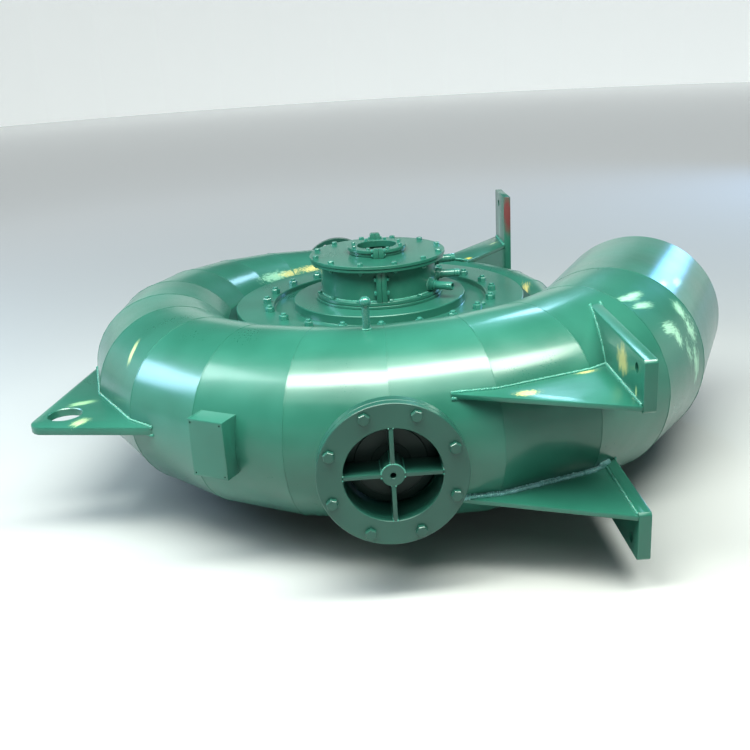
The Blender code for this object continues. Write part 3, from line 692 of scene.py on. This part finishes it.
def halfOf(mesh, side):
    # keeps the half of a closed mesh on one side of x = 0, and closes the cut
    shape = bmesh.new()
    shape.from_mesh(mesh)
    bpy.data.meshes.remove(mesh)
    everything = shape.verts[:] + shape.edges[:] + shape.faces[:]
    bmesh.ops.bisect_plane(shape, geom=everything, plane_co=(side * fit / 2, 0.0, 0.0),
                           plane_no=(-side, 0.0, 0.0), clear_outer=True)
    rim = [edge for edge in shape.edges if len(edge.link_faces) == 1]
    bmesh.ops.holes_fill(shape, edges=rim, sides=0)
    return meshFrom(shape)


def uprightPlate(outline, side, end, inner, outer):
    # an outline in X and Z on one side of the split, between two distances from the axis along Y
    near, far = (inner, outer) if end > 0 else (-outer, -inner)
    return plateMesh([(side * x, z) for x, z in outline], -far, -near, 0.0012, turnBy(math.pi / 2, "X"))


def nipplePlace(azimuth, height):
    return moved(0.0, 0.0, height) @ along(*polar(1.0, math.radians(azimuth)))


def makeBearing():
    for name, node, bore, ease in (("bearingBase", "bearing_base", bearing["baseBore"], 0.001),
                                   ("bearingLid", "bearing_lid", bearing["lidBore"], 0.0012)):
        addPiece(name, turnedMesh(ringProfile(bore, *ringSize(node)), 192, ease), "turned", node)
    low, high = ringSize("bearing_base")[2] + fit, ringSize("bearing_lid")[1] - fit
    outer, body, rim = bearing["topRadius"], bearing["bodyRadius"], bearing["footRadius"]
    bodyTop, footTop, topBore = bearing["bodyTop"], bearing["footTop"], bearing["topBore"]
    bore = body - bearing["wall"]
    profile = [(outer, high), (outer, bodyTop), (body, bodyTop), (body, footTop), (rim, footTop), (rim, low),
               (bore, low), (bore, bodyTop), (topBore, bodyTop), (topBore, high)]
    width, flare, sunk = bearing["splitWidth"] / 2, bearing["flare"], 0.001
    ear = [(fit / 2, footTop - sunk), (width, footTop - sunk)]
    for step in range(6):
        turn = math.pi - math.pi / 2 * step / 6
        ear.append((width + flare + flare * math.cos(turn), bodyTop - flare + flare * math.sin(turn)))
    ear += [(width + flare, bodyTop + sunk), (fit / 2, bodyTop + sunk)]
    for name, side in (("Left", -1), ("Right", 1)):
        parts = [halfOf(turnedMesh(profile), side)]
        parts += [uprightPlate(ear, side, end, bearing["splitInner"], bearing["splitReach"]) for end in (-1, 1)]
        mesh = joinMeshes(parts)
        if side > 0:
            mesh = cut(mesh, joinMeshes([rodMesh(nipples["bore"], *nipples["boreSpan"], 32, nipplePlace(*place))
                                         for place in nipples["places"]]))
        addPiece("housing" + name, mesh, "turned", "bearing_housing_" + name.lower())


def makeNipples():
    start, end = bearing["bodyRadius"] - 0.002, nipples["reach"]
    neck, wide, bore = nipples["neck"], nipples["radius"], nipples["bore"]
    boss, bossEnd = nipples["boss"], nipples["bossEnd"]
    # two barbs behind the mouth, a shoulder and the boss on the housing
    profile = [(neck - 0.001, end), (neck, end - 0.001), (wide - 0.0001, end - 0.008), (neck, end - 0.009),
               (neck, end - 0.012), (wide - 0.0001, end - 0.016), (neck, end - 0.017),
               (neck, bossEnd + 0.006), (boss - 0.003, bossEnd + 0.006), (boss - 0.003, bossEnd + 0.001),
               (boss - 0.0045, bossEnd), (boss - 0.0045, bossEnd - 0.003), (boss, bossEnd - 0.004), (boss, start),
               (bore, start), (bore, end)]
    for number, place in enumerate(nipples["places"], start=1):
        addPiece(f"hoseNipple{number}", turnedMesh(profile, 40, 0.0, nipplePlace(*place)), "bolt",
                 f"hose_nipple_{number}")


def makeCollar():
    low, clampTop = ringSize("bearing_lid")[2] + fit, reach("shaft_collar_left")[1].z
    outer, neck, bore = bearing["collarRadius"], bearing["neckRadius"], bearing["collarBore"]
    top, neckTop = bearing["collarTop"], bearing["neckTop"]
    ring = [(outer, top), (outer, neckTop), (neck, neckTop), (neck, low), (bore, low), (bore, top)]
    width, corner = bearing["clampWidth"] / 2, bearing["clampCorner"]
    for name, side in (("Left", -1), ("Right", 1)):
        parts = [halfOf(turnedMesh(ring, 128, 0.0012), side)]
        for end, high in ((-1, clampTop - bearing["frontClampDrop"]), (1, clampTop)):
            block = [(fit / 2, low), (width, low), (width, high - corner), (width - corner, high), (fit / 2, high)]
            parts.append(uprightPlate(block, side, end, bearing["clampInner"], bearing["clampOuter"]))
        addPiece("collar" + name, joinMeshes(parts), "turned", "shaft_collar_" + name.lower())


makeBearing()
makeNipples()
makeCollar()
print("bearing housing made")


# Ball post, relief port and rear stub

post = {"at": (-0.064, -0.678), "foot": 0.236, "radius": 0.0095, "ball": 0.014}


def makeBallPost():
    top, ball = reach("ball_post")[1].z, post["ball"]
    below = math.acos(post["radius"] / ball)
    profile = [(core, top)]
    for step in range(1, 20):
        turn = math.pi / 2 - (math.pi / 2 + below) * step / 19
        profile.append((ball * math.cos(turn), top - ball + ball * math.sin(turn)))
    profile += [(post["radius"], post["foot"]), (core, post["foot"])]
    addPiece("ballPost", turnedMesh(profile, 40, 0.0, moved(*post["at"], 0.0)), "bolt", "ball_post")


# the disc's outline gives shares of its radius and heights in metres
spider = {
    "depth": 0.075, "rib": 0.010, "hub": 0.026, "hole": 0.0065, "ribs": 4, "disc": 0.103,
    "discOutline": ((0.42, -0.002), (0.44, 0.0), (0.80, 0.0), (0.82, -0.003), (0.93, -0.003), (1.0, -0.005),
                    (1.0, -0.012)),
}


def makeReliefPort():
    radius, bore, depth = port["flangeRadius"], port["bore"], spider["depth"]
    behind = portPlace(port["frontThick"] + fit)
    front = turnedMesh(ringProfile(bore, radius, -port["frontThick"], 0.0), place=portPlace(0.0))
    addPiece("portFlange", front, "flange", "relief_front_flange")
    back = turnedMesh(ringProfile(port["neckRadius"] + fit, radius, -port["backThick"], 0.0), place=behind)
    addPiece("portBackFlange", back, "flange", "relief_back_flange")
    pipe = ringProfile(port["neckRadius"] - port["neckWall"], port["neckRadius"], -port["neckLength"], -fit)
    addPiece("portNeck", cutToCase(turnedMesh(pipe, 144, 0.0, behind)), "plate", "relief_neck")
    parts = [turnedMesh(ringProfile(spider["hole"], spider["hub"], -depth, 0.0), 64, 0.0012)]
    inner, outer, half = spider["hub"] - 0.002, bore - 0.0006, spider["rib"] / 2
    outline = [(inner, -half), (outer, -half), (outer, half), (inner, half)]
    for number in range(spider["ribs"]):
        parts.append(plateMesh(outline, -depth, -0.0005, 0.0010, turnBy(math.tau * number / spider["ribs"])))
    mesh = joinMeshes(parts)
    mesh.transform(portPlace(0.0))
    addPiece("portSpider", mesh, "flange", "relief_spider")
    face = [(spider["disc"] * share, height) for share, height in spider["discOutline"]]
    profile = [(core, face[0][1]), *face, (core, face[-1][1])]
    disc = turnedMesh(profile, 128, 0.0, portPlace(depth + fit))
    # the disc sits deepest in the port and takes the darkest paint as painted shade
    addPiece("portDisc", disc, "deep", "relief_disc")


def makeRearStub():
    radius = stub["radius"]
    ring = ringProfile(radius + fit, stub["flangeRadius"], -stub["flangeThick"], 0.0)
    flange = cut(turnedMesh(ring, 144), drillRing(stub["bolts"], stub["boltCircle"], stub["boltHole"],
                                                  -0.04, 0.02, 24))
    flange.transform(stubPlace)
    addPiece("stubFlange", flange, "flange", "rear_stub_flange")
    tube = ringProfile(radius - stub["wall"], radius, -stub["length"], -0.002)
    addPiece("stubPipe", cutToCase(turnedMesh(tube, 96, 0.0, stubPlace)), "plate", "rear_stub_pipe")


makeBallPost()
makeReliefPort()
makeRearStub()
print("ports made")


# Feet, lug and plate pad

foot = {
    "plateX": 0.500, "thick": 0.030, "rearThick": 0.024, "hole": 0.012, "gussetTop": 0.136, "gussetThick": 0.012,
    "frontY": -1.037, "frontInnerY": -0.500, "frontTop": 0.238, "frontLow": 0.118, "frontHole": (-0.985, 0.205),
    "rearY": (0.615, 0.800), "rearTop": 0.312, "rearHole": (0.727, 0.273), "ease": 0.0020, "corner": 0.006,
    "frontGusset": ((0.111, -0.880), (0.4997, -1.037), (0.4997, -0.690), (0.130, -0.780)),
    "rearGusset": ((0.334, 0.400), (0.4997, 0.609), (0.4997, 0.785), (0.270, 0.500)),
}


def soleMesh(outline, thick, sign=1):
    # an outline in Y and Z, or upside down, drawn as a plate that faces X
    across = Matrix(((0, 0, 1, 0), (1, 0, 0, 0), (0, sign, 0, 0), (0, 0, 0, 1)))
    return plateMesh(outline, foot["plateX"], foot["plateX"] + thick, foot["ease"], across)


def anchorDrill(y, z):
    near, far = foot["plateX"] - 0.02, foot["plateX"] + foot["thick"] + 0.02
    return rodMesh(foot["hole"], near, far, 32, moved(0.0, y, z) @ along(1.0, 0.0, 0.0))


def makeFeet():
    corner, thick = foot["corner"], foot["gussetThick"]
    outerY, innerY, low, high = foot["frontY"], foot["frontInnerY"], foot["frontLow"], foot["frontTop"]
    outline = [(outerY + corner, low), (innerY, low), (innerY, high), (outerY + corner, high),
               (outerY, high - corner), (outerY, low + corner)]
    for name, sign in (("upper", 1), ("lower", -1)):
        y, z = foot["frontHole"]
        mesh = cutToCase(soleMesh(outline, foot["thick"], sign), anchorDrill(y, sign * z))
        addPiece(f"frontSole{name.title()}", mesh, "foot", f"front_sole_{name}")
        top = foot["gussetTop"] if sign > 0 else thick - foot["gussetTop"]
        for where in ("front", "rear"):
            mesh = cutToCase(plateMesh(foot[where + "Gusset"], top - thick, top, 0.0016))
            addPiece(f"{where}Gusset{name.title()}", mesh, "foot", f"{where}_gusset_{name}")
    (near, far), tall = foot["rearY"], foot["rearTop"]
    y, z = foot["rearHole"]
    sole = soleMesh([(near, -tall), (far, -tall), (far, tall), (near, tall)], foot["rearThick"])
    addPiece("rearSole", cut(sole, anchorDrill(y, -z), anchorDrill(y, z)), "foot", "rear_sole")
    start, end = (Vector(foot["rearGusset"][i]) for i in (0, 1))
    run = (end - start).normalized()
    inward = Vector((-run.y, run.x)) * thick
    corners = [start, end, end + inward - run * (inward.x / run.x), start + inward]
    level = foot["gussetTop"] - thick - fit
    web = plateMesh([tuple(c) for c in corners], -level, level, 0.0012)
    addPiece("rearWeb", cutToCase(web), "plate", "rear_web")


lug = {
    "thick": 0.022, "tip": (-0.902, -0.544), "tipRadius": 0.040, "front": (-0.560, -0.650),
    "back": (-0.858, -0.091), "root": ((-0.760, -0.090), (-0.560, -0.560)),
    "hole": (-0.866, -0.500), "holeRadius": 0.044, "holeRim": 0.0025, "ease": 0.003,
}


def tangentTurn(point, side):
    away = Vector(point) - Vector(lug["tip"])
    return math.atan2(away.y, away.x) + side * math.acos(lug["tipRadius"] / away.length)


def makeLug():
    start = tangentTurn(lug["front"], -1)
    sweep = (tangentTurn(lug["back"], 1) - start) % -math.tau
    tip = [polar(lug["tipRadius"], start + sweep * step / 24) for step in range(25)]
    outline = [lug["front"], *((lug["tip"][0] + p.x, lug["tip"][1] + p.y) for p in tip), lug["back"], *lug["root"]]
    half, rim, bore = lug["thick"] / 2, lug["holeRim"], lug["holeRadius"]
    past = half + 0.001
    hole = [(bore + rim, past), (bore + rim, half), (bore, half - rim), (bore, rim - half), (bore + rim, -half),
            (bore + rim, -past), (core, -past), (core, past)]
    cutter = turnedMesh(hole, 96, 0.0, moved(*lug["hole"], 0.0))
    addPiece("liftingLug", cutToCase(plateMesh(outline, -half, half, lug["ease"]), cutter), "lug", "lifting_lug")


pad = {"azimuth": -119.0, "radius": 0.940, "height": 0.018, "wide": 0.098, "tall": 0.145, "sheet": 0.004,
       "leg": 0.075, "rivet": 0.0024, "inset": 0.008}


def makePad():
    half, tall, sheet, leg = pad["wide"] / 2, pad["tall"] / 2, pad["sheet"], pad["leg"]
    inside = half - sheet
    channel = plateMesh([(-half, 0.0), (half, 0.0), (half, leg), (inside, leg), (inside, sheet), (-inside, sheet),
                         (-inside, leg), (-half, leg)], -tall, tall, 0.0010)
    lid = plateMesh([(-inside, sheet), (inside, sheet), (inside, leg), (-inside, leg)],
                    tall - sheet, tall - 0.0006, 0.0)
    x, z = half - pad["inset"], tall - pad["inset"]
    drills = [rodMesh(pad["rivet"], -0.01, 0.01, 16, moved(i * x, 0.0, j * z) @ along(0.0, 1.0, 0.0))
              for i in (-1, 1) for j in (-1, 1)]
    angle = math.radians(pad["azimuth"])
    place = moved(*polar(pad["radius"], angle, pad["height"])) @ turnBy(angle + math.pi / 2)
    trimmed = []
    for mesh in (cut(channel, joinMeshes(drills)), lid):
        mesh.transform(place)
        trimmed.append(cutToCase(mesh))
    addPiece("platePad", joinMeshes(trimmed), "turned", "nameplate_pad")


makeFeet()
makeLug()
makePad()
print("feet, lug and pad made")


# Fasteners and welds grow on rings and paths through two node trees

def newTree(name, sockets):
    tree = bpy.data.node_groups.new(name, "GeometryNodeTree")
    tree.interface.new_socket("Geometry", in_out="OUTPUT", socket_type="NodeSocketGeometry")
    for label, kind, value in sockets:
        socket = tree.interface.new_socket(label, in_out="INPUT", socket_type="NodeSocket" + kind)
        if value is not None:
            socket.default_value = value
    return tree, addNode(tree, "NodeGroupInput").outputs


def finishTree(tree, geometry, material):
    real = outOf(tree, "GeometryNodeRealizeInstances", {}, {0: geometry})
    painted = outOf(tree, "GeometryNodeSetMaterial", {}, {"Geometry": real, "Material": material})
    addNode(tree, "NodeGroupOutput", {}, {"Geometry": painted})


def packed(tree, links):
    return outOf(tree, "ShaderNodeCombineXYZ", {}, links)


def grow(tree, values, mesh=None):
    # runs a tree on a mesh and returns the result as a plain mesh
    holder = linked("holder", mesh or bpy.data.meshes.new("empty"))
    step = holder.modifiers.new("grow", "NODES")
    step.node_group = tree
    for item in tree.interface.items_tree:
        if item.in_out == "INPUT" and item.name in values:
            step[item.identifier] = values[item.name]
    made = resultOf(holder)
    dropObject(holder)
    return made


fastenerRing, given = newTree("fastenerRing", (
    ("Geometry", "Geometry", None), ("Fastener", "Object", None), ("Count", "Int", 8), ("Radius", "Float", 0.1),
    ("Start", "Float", 0.0), ("Height", "Float", 0.0), ("Seed", "Int", 1), ("Finish", "Material", None)))
circle = outOf(fastenerRing, "GeometryNodeMeshCircle", {}, {"Vertices": given["Count"], "Radius": given["Radius"]})
turned = outOf(fastenerRing, "GeometryNodeTransform", {}, {
    "Geometry": circle, "Translation": packed(fastenerRing, {2: given["Height"]}),
    "Rotation": packed(fastenerRing, {2: given["Start"]})})
spin = addNode(fastenerRing, "FunctionNodeRandomValue", {"data_type": "FLOAT", 3: math.tau},
               {"Seed": given["Seed"]}).outputs[1]
proto = addNode(fastenerRing, "GeometryNodeObjectInfo", {}, {"Object": given["Fastener"]}).outputs["Geometry"]
placed = outOf(fastenerRing, "GeometryNodeInstanceOnPoints", {}, {
    "Points": turned, "Instance": proto, "Rotation": packed(fastenerRing, {2: spin})})
finishTree(fastenerRing, placed, given["Finish"])

weldRun, given = newTree("weldRun", (
    ("Geometry", "Geometry", None), ("Pitch", "Float", 0.0026), ("Long", "Float", 0.0026),
    ("Wide", "Float", 0.0045), ("Seed", "Int", 1), ("Finish", "Material", None)))
path = outOf(weldRun, "GeometryNodeMeshToCurve", {}, {0: given["Geometry"]})
evenly = outOf(weldRun, "GeometryNodeResampleCurve", {"mode": "LENGTH"}, {"Curve": path, "Length": given["Pitch"]})
ripple = outOf(weldRun, "GeometryNodeMeshUVSphere", {"Segments": 8, "Rings": 5, "Radius": 1.0})
facing = outOf(weldRun, "FunctionNodeAlignRotationToVector", {"axis": "X"}, {
    "Vector": outOf(weldRun, "GeometryNodeInputTangent")})
uneven = addNode(weldRun, "FunctionNodeRandomValue", {"data_type": "FLOAT", 2: 0.78, 3: 1.18},
                 {"Seed": given["Seed"]}).outputs[1]
size = outOf(weldRun, "ShaderNodeVectorMath", {"operation": "SCALE"}, {
    0: packed(weldRun, {0: given["Long"], 1: given["Wide"], 2: given["Wide"]}), "Scale": uneven})
laid = outOf(weldRun, "GeometryNodeInstanceOnPoints", {}, {
    "Points": evenly, "Instance": ripple, "Rotation": facing, "Scale": size})
finishTree(weldRun, laid, given["Finish"])


def prism(shape, sides, *rings):
    # a closed prism through (radius, height) rings
    addSolid(shape, [[polar(radius, math.tau * k / sides, height) for k in range(sides)] for radius, height in rings])


def fastener(across, head, stud=0.0, studTop=0.0):
    # a hexagon with broken corners and, where one is asked for, a stud through it
    shape = bmesh.new()
    corner = across / math.sqrt(3.0)
    prism(shape, 6, (corner, 0.0), (corner, head * 0.86), (corner * 0.90, head))
    prism(shape, 24, (across * 0.44, head * 0.9), (across * 0.43, head + 0.0006))
    if stud:
        prism(shape, 16, (stud, 0.0), (stud, studTop - 0.0018), (stud * 0.72, studTop))
    return linked("fastener", meshFrom(shape))


# angles in degrees; "start" is the first fastener's azimuth
bolts = {
    "cover": {"count": 20, "radius": 0.3474, "start": -2.3}, "coverNut": (0.024, 0.0145, 0.008, 0.021),
    "jackRadius": 0.345, "jackAzimuths": (158.0, -31.0, 68.0, -112.0), "jackScrew": (0.013, 0.006, 0.0045, 0.009),
    "foot": {"count": 12, "radius": 0.1835, "start": 8.0}, "footBolt": (0.013, 0.0060),
    "under": {"count": 12, "radius": 0.191, "start": -12.0}, "underNut": (0.013, 0.0060, 0.004, 0.010),
    "lid": {"count": 12, "radius": 0.191, "start": 12.0}, "lidBolt": (0.016, 0.0075),
    "collar": {"count": 8, "radius": 0.0755, "start": 22.5}, "collarBolt": (0.010, 0.0050),
    "splitY": 0.1825, "splitHeights": (0.195, 0.236), "clampY": 0.094, "clampHeights": (0.287, 0.300),
    "port": {"count": port["bolts"], "radius": port["boltCircle"], "start": 180.0 / port["bolts"]},
    "portBolt": (port["boltAcross"], 0.0110), "portNut": (port["boltAcross"], 0.0130, 0.008, 0.019),
}


def ringOf(proto, ring, height, place=Matrix(), seed=1):
    mesh = grow(fastenerRing, {"Fastener": proto, "Count": ring["count"], "Radius": ring["radius"],
                               "Start": math.radians(ring["start"]), "Height": height, "Seed": seed,
                               "Finish": finish["bolt"]})
    mesh.transform(place)
    return mesh


def oneOf(proto, place):
    mesh = proto.data.copy()
    mesh.transform(place)
    return mesh


def makeFasteners():
    coverTop, lidTop = -ringSize("bottom_cover")[1], ringSize("bearing_lid")[2]
    kinds = ("coverNut", "jackScrew", "footBolt", "underNut", "lidBolt", "collarBolt", "portBolt", "portNut")
    nut, screw, small, under, bolt, tiny, head, nuts = protos = [fastener(*bolts[kind]) for kind in kinds]
    parts = [ringOf(nut, bolts["cover"], coverTop, seed=3)]
    for azimuth in bolts["jackAzimuths"]:
        parts.append(oneOf(screw, turnBy(math.radians(azimuth)) @ moved(bolts["jackRadius"], 0.0, coverTop)))
    addPiece("coverNuts", joinMeshes(parts), "bolt")
    upsideDown = turnBy(math.pi, "X")
    parts = [ringOf(small, bolts["foot"], bearing["footTop"]),
             ringOf(under, bolts["under"], 0.0, moved(0.0, 0.0, bearing["bodyTop"]) @ upsideDown)]
    addPiece("housingBolts", joinMeshes(parts), "bolt")
    addPiece("lidBolts", ringOf(bolt, bolts["lid"], lidTop, seed=5), "bolt")
    parts = [ringOf(tiny, bolts["collar"], bearing["collarTop"])]
    # bolts through the split flanges and the clamp blocks, along X
    for side in (-1, 1):
        for end in (-1, 1):
            for proto, where, width in ((small, "split", "splitWidth"), (tiny, "clamp", "clampWidth")):
                for height in bolts[where + "Heights"]:
                    spot = moved(side * bearing[width] / 2, end * bolts[where + "Y"], height)
                    parts.append(oneOf(proto, spot @ along(side, 0.0, 0.0)))
    addPiece("clampBolts", joinMeshes(parts), "bolt")
    rear = portPlace(port["frontThick"] + port["backThick"] + fit) @ upsideDown
    parts = [ringOf(head, bolts["port"], 0.0, portPlace(0.0), 7), ringOf(nuts, bolts["port"], 0.0, rear, 9)]
    addPiece("portBolts", joinMeshes(parts), "flange")
    for proto in protos:
        dropObject(proto)


def weld(lines, wide, seed):
    # a run of overlapping ripples along each line
    shape = bmesh.new()
    for line in lines:
        row = [shape.verts.new(point) for point in line]
        for near, far in zip(row, row[1:]):
            shape.edges.new((near, far))
    long = 0.0018 + wide * 0.22
    return grow(weldRun, {"Pitch": long * 1.25, "Long": long, "Wide": wide, "Seed": seed,
                          "Finish": finish["weld"]}, meshFrom(shape, turnFaces=False))


def onShell(azimuthA, azimuthB, level, steps=40):
    return [shellPoint(azimuthA + (azimuthB - azimuthA) * k / steps, level) for k in range(steps + 1)]


def azimuthAtX(x, level, low, high):
    # where the case's outer surface crosses a plane of one x, between two azimuths
    for _ in range(40):
        middle = (low + high) / 2
        if (shellPoint(low, level).x - x) * (shellPoint(middle, level).x - x) <= 0.0:
            high = middle
        else:
            low = middle
    return (low + high) / 2


def circleLine(radius, height, place=Matrix(), start=0.0, end=360.0, steps=120):
    turns = [math.radians(start + (end - start) * k / steps) for k in range(steps + 1)]
    return [place @ polar(radius, turn, height) for turn in turns]


# bead widths, and the azimuths and places between which the beads run
welds = {
    "wide": {"footWelds": 0.0048, "lugWelds": 0.0055, "housingWelds": 0.0032, "spiderWelds": 0.0022,
             "portWelds": 0.0035},
    "frontFrom": -82.6, "soleSearch": (-75.0, -45.0), "edgeSearch": (-75.0, -35.0), "rearSpan": (-309.0, -298.5),
    "rearY": (0.62, 0.785), "lugSpan": (-134.0, -172.5), "housingHalf": 84.5, "postFoot": 0.2405,
    "heavyWide": (0.0100, 0.0062, 0.0120), "heavyFrom": (-85.0, -84.0), "ribDepth": 0.074,
}


def makeWelds():
    face, top, thick = foot["plateX"], foot["gussetTop"], foot["gussetThick"]
    runs = {name: [] for name in welds["wide"]}
    levels = [foot["frontLow"] + (foot["frontTop"] - foot["frontLow"]) * k / 20 for k in range(21)]
    for sign in (1, -1):
        for level in (sign * top, sign * (top - thick)):
            atSole = azimuthAtX(face, level, *welds["soleSearch"])
            onSole = [(shellPoint(atSole, level).y, foot["frontY"] + 0.01), welds["rearY"]]
            runs["footWelds"] += [onShell(welds["frontFrom"], atSole, level),
                                  *([Vector((face, y, level)) for y in ends] for ends in onSole),
                                  onShell(*welds["rearSpan"], level)]
        for x in (face, face + foot["thick"]):
            runs["footWelds"].append([shellPoint(azimuthAtX(x, sign * level, *welds["edgeSearch"]), sign * level)
                                      for level in levels])
    # the lower gusset's upper bead is heavy: two rough rows and a raised end
    level = thick - top
    corner = azimuthAtX(face, level, *welds["soleSearch"])
    innerFrom, outerFrom = welds["heavyFrom"]
    rows = [onShell(innerFrom, corner, level),
            [Vector((p.x * 1.010, p.y * 1.010, p.z + 0.001)) for p in onShell(outerFrom, corner - 1.0, level)],
            onShell(corner - 1.6, corner + 0.4, level + 0.006, 4)]
    heavy = [weld([row], wide, seed) for row, wide, seed in zip(rows, welds["heavyWide"], (8, 9, 10))]
    # its pale bluish paint is a painted highlight on the bead
    addPiece("heavyWeld", joinMeshes(heavy), "heavyWeld", sharp=50.0)
    runs["lugWelds"] = [onShell(*welds["lugSpan"], sign * lug["thick"] / 2, 60) for sign in (-1, 1)]
    span = welds["housingHalf"]
    runs["housingWelds"] = [circleLine(bearing["bodyRadius"], bearing["footTop"], start=middle - span,
                                       end=middle + span) for middle in (180.0, 0.0)]
    runs["housingWelds"] += [circleLine(nipples["boss"], bearing["bodyRadius"] - 0.0005, nipplePlace(*place), steps=40)
                             for place in nipples["places"]]
    for number in range(spider["ribs"]):
        place = portPlace(0.0) @ turnBy(math.radians(90.0 * number))
        for y in (-spider["rib"] / 2, spider["rib"] / 2):
            for radius in (spider["hub"], port["bore"]):
                depths = [-0.001 - welds["ribDepth"] * k / 10 for k in range(11)]
                runs["spiderWelds"].append([place @ Vector((radius, y, depth)) for depth in depths])
    runs["spiderWelds"].append(circleLine(spider["hub"] + 0.0005, -0.0015, portPlace(0.0), 15, 165, 40))
    runs["portWelds"] = [circleLine(port["neckRadius"], -port["backThick"], portPlace(port["frontThick"] + fit)),
                         circleLine(post["radius"], welds["postFoot"], moved(*post["at"], 0.0), steps=30),
                         circleLine(stub["radius"], -stub["flangeThick"], stubPlace)]
    for seed, (name, lines) in enumerate(runs.items(), start=1):
        addPiece(name, weld(lines, welds["wide"][name], seed), "weld", sharp=50.0)


makeFasteners()
makeWelds()
print("fasteners and welds made")


# Stage, lights and camera

stage = {"nearFloor": "#b4b8b6", "farFloor": "#dadddc", "fadeFrom": 1.6, "fadeTo": 5.5, "radius": 16.0,
         "wall": 4.2, "world": "#d3e2ea", "worldStrength": 0.17, "wallGlow": 0.46}


def addStage(name, mesh, glow=0.0):
    # pale paper, a little greyer round the part so that it throws less light up at its belly
    material = bpy.data.materials.new("palePaper" + name.title())
    material.use_nodes = True
    tree = material.node_tree
    shader = tree.nodes["Principled BSDF"]
    where = addNode(tree, "ShaderNodeTexCoord").outputs["Object"]
    share = outOf(tree, "ShaderNodeMapRange", {
        "interpolation_type": "SMOOTHSTEP", "From Min": stage["fadeFrom"], "From Max": stage["fadeTo"]},
        {"Value": lengthOf(tree, where)})
    tone = mixOn(tree, share, hexColour(stage["nearFloor"]), hexColour(stage["farFloor"]))
    tree.links.new(tone, shader.inputs["Base Color"])
    shader.inputs["Roughness"].default_value = 0.85
    shader.inputs["Emission Color"].default_value = hexColour(stage["farFloor"])
    shader.inputs["Emission Strength"].default_value = glow
    mesh.materials.append(material)
    linked(name, mesh)


def makeStage():
    shape = bmesh.new()
    bmesh.ops.create_circle(shape, cap_ends=True, segments=96, radius=stage["radius"])
    addStage("floor", meshFrom(shape, turnFaces=False))
    ring = ringProfile(stage["radius"] - 0.2, stage["radius"], -0.01, stage["wall"])
    addStage("wall", turnedMesh(ring, 96, 0.0), stage["wallGlow"])
    world = bpy.data.worlds.new("softSky")
    world.use_nodes = True
    sky = world.node_tree.nodes["Background"]
    sky.inputs["Color"].default_value = hexColour(stage["world"])
    sky.inputs["Strength"].default_value = stage["worldStrength"]
    scene.world = world


# name, place, aim, width and height, power, tint
lamps = (
    ("overheadBox", (0.10, -1.25, 2.5), (0.05, -0.75, 0.3), (3.6, 0.60), 126.0, "#fffef6"),
    ("leftBox", (-3.1, -0.4, 2.8), (-0.5, -0.6, 0.3), (1.1, 1.6), 52.0, "#f2fbff"),
    ("leftWindow", (-4.0, 0.5, 2.0), (-0.3, 0.0, 0.3), (1.1, 1.1), 52.0, "#bcd8fa"),
    ("rightWindow", (4.0, 4.2, 1.7), (0.7, 0.0, 0.3), (1.0, 1.0), 24.0, "#8cc4ff"),
    ("rearWindow", (1.3, 2.9, 3.0), (-0.4, 0.3, 0.2), (0.6, 0.6), 16.0, "#bfe0ff"),
)
sunlight = {"strength": 1.7, "spread": 60.0, "turn": (18.0, -8.0, 0.0)}


def makeLights():
    for name, place, aim, sides, power, tint in lamps:
        light = bpy.data.lights.new(name, "AREA")
        light.shape = "RECTANGLE"
        light.size, light.size_y = sides
        light.energy = power
        light.color = hexColour(tint)[:3]
        made = linked(name, light)
        made.location = place
        made.rotation_euler = (Vector(place) - Vector(aim)).to_track_quat("Z", "Y").to_euler()
    sun = bpy.data.lights.new("softSun", "SUN")
    sun.energy = sunlight["strength"]
    sun.angle = math.radians(sunlight["spread"])
    linked("softSun", sun).rotation_euler = [math.radians(angle) for angle in sunlight["turn"]]


view = {"pitch": 0.34220, "yaw": -0.06075, "roll": -0.0321, "focal": 46.69, "from": (-0.1224, -2.9195, 0.9208)}


def makeCamera():
    pitch, yaw = view["pitch"], view["yaw"]
    right = Vector((math.cos(yaw), math.sin(pitch) * math.sin(yaw), math.cos(pitch) * math.sin(yaw)))
    up = Vector((-math.sin(yaw), math.sin(pitch) * math.cos(yaw), math.cos(pitch) * math.cos(yaw)))
    ahead = Vector((0.0, math.cos(pitch), -math.sin(pitch)))
    facing = Matrix((right, up, -ahead)).transposed().to_4x4()
    lens = bpy.data.cameras.new("camera")
    lens.lens = view["focal"]
    lens.sensor_width = 36.0
    lens.clip_end = 200.0
    camera = linked("camera", lens)
    camera.matrix_world = moved(*(axisPoint + Vector(view["from"]))) @ turnBy(view["roll"]) @ facing
    scene.camera = camera


makeStage()
makeLights()
makeCamera()
scene.view_settings.view_transform = "Standard"
scene.view_settings.exposure = 0.12
scene.view_settings.gamma = 0.84
print("stage, lights and camera set")
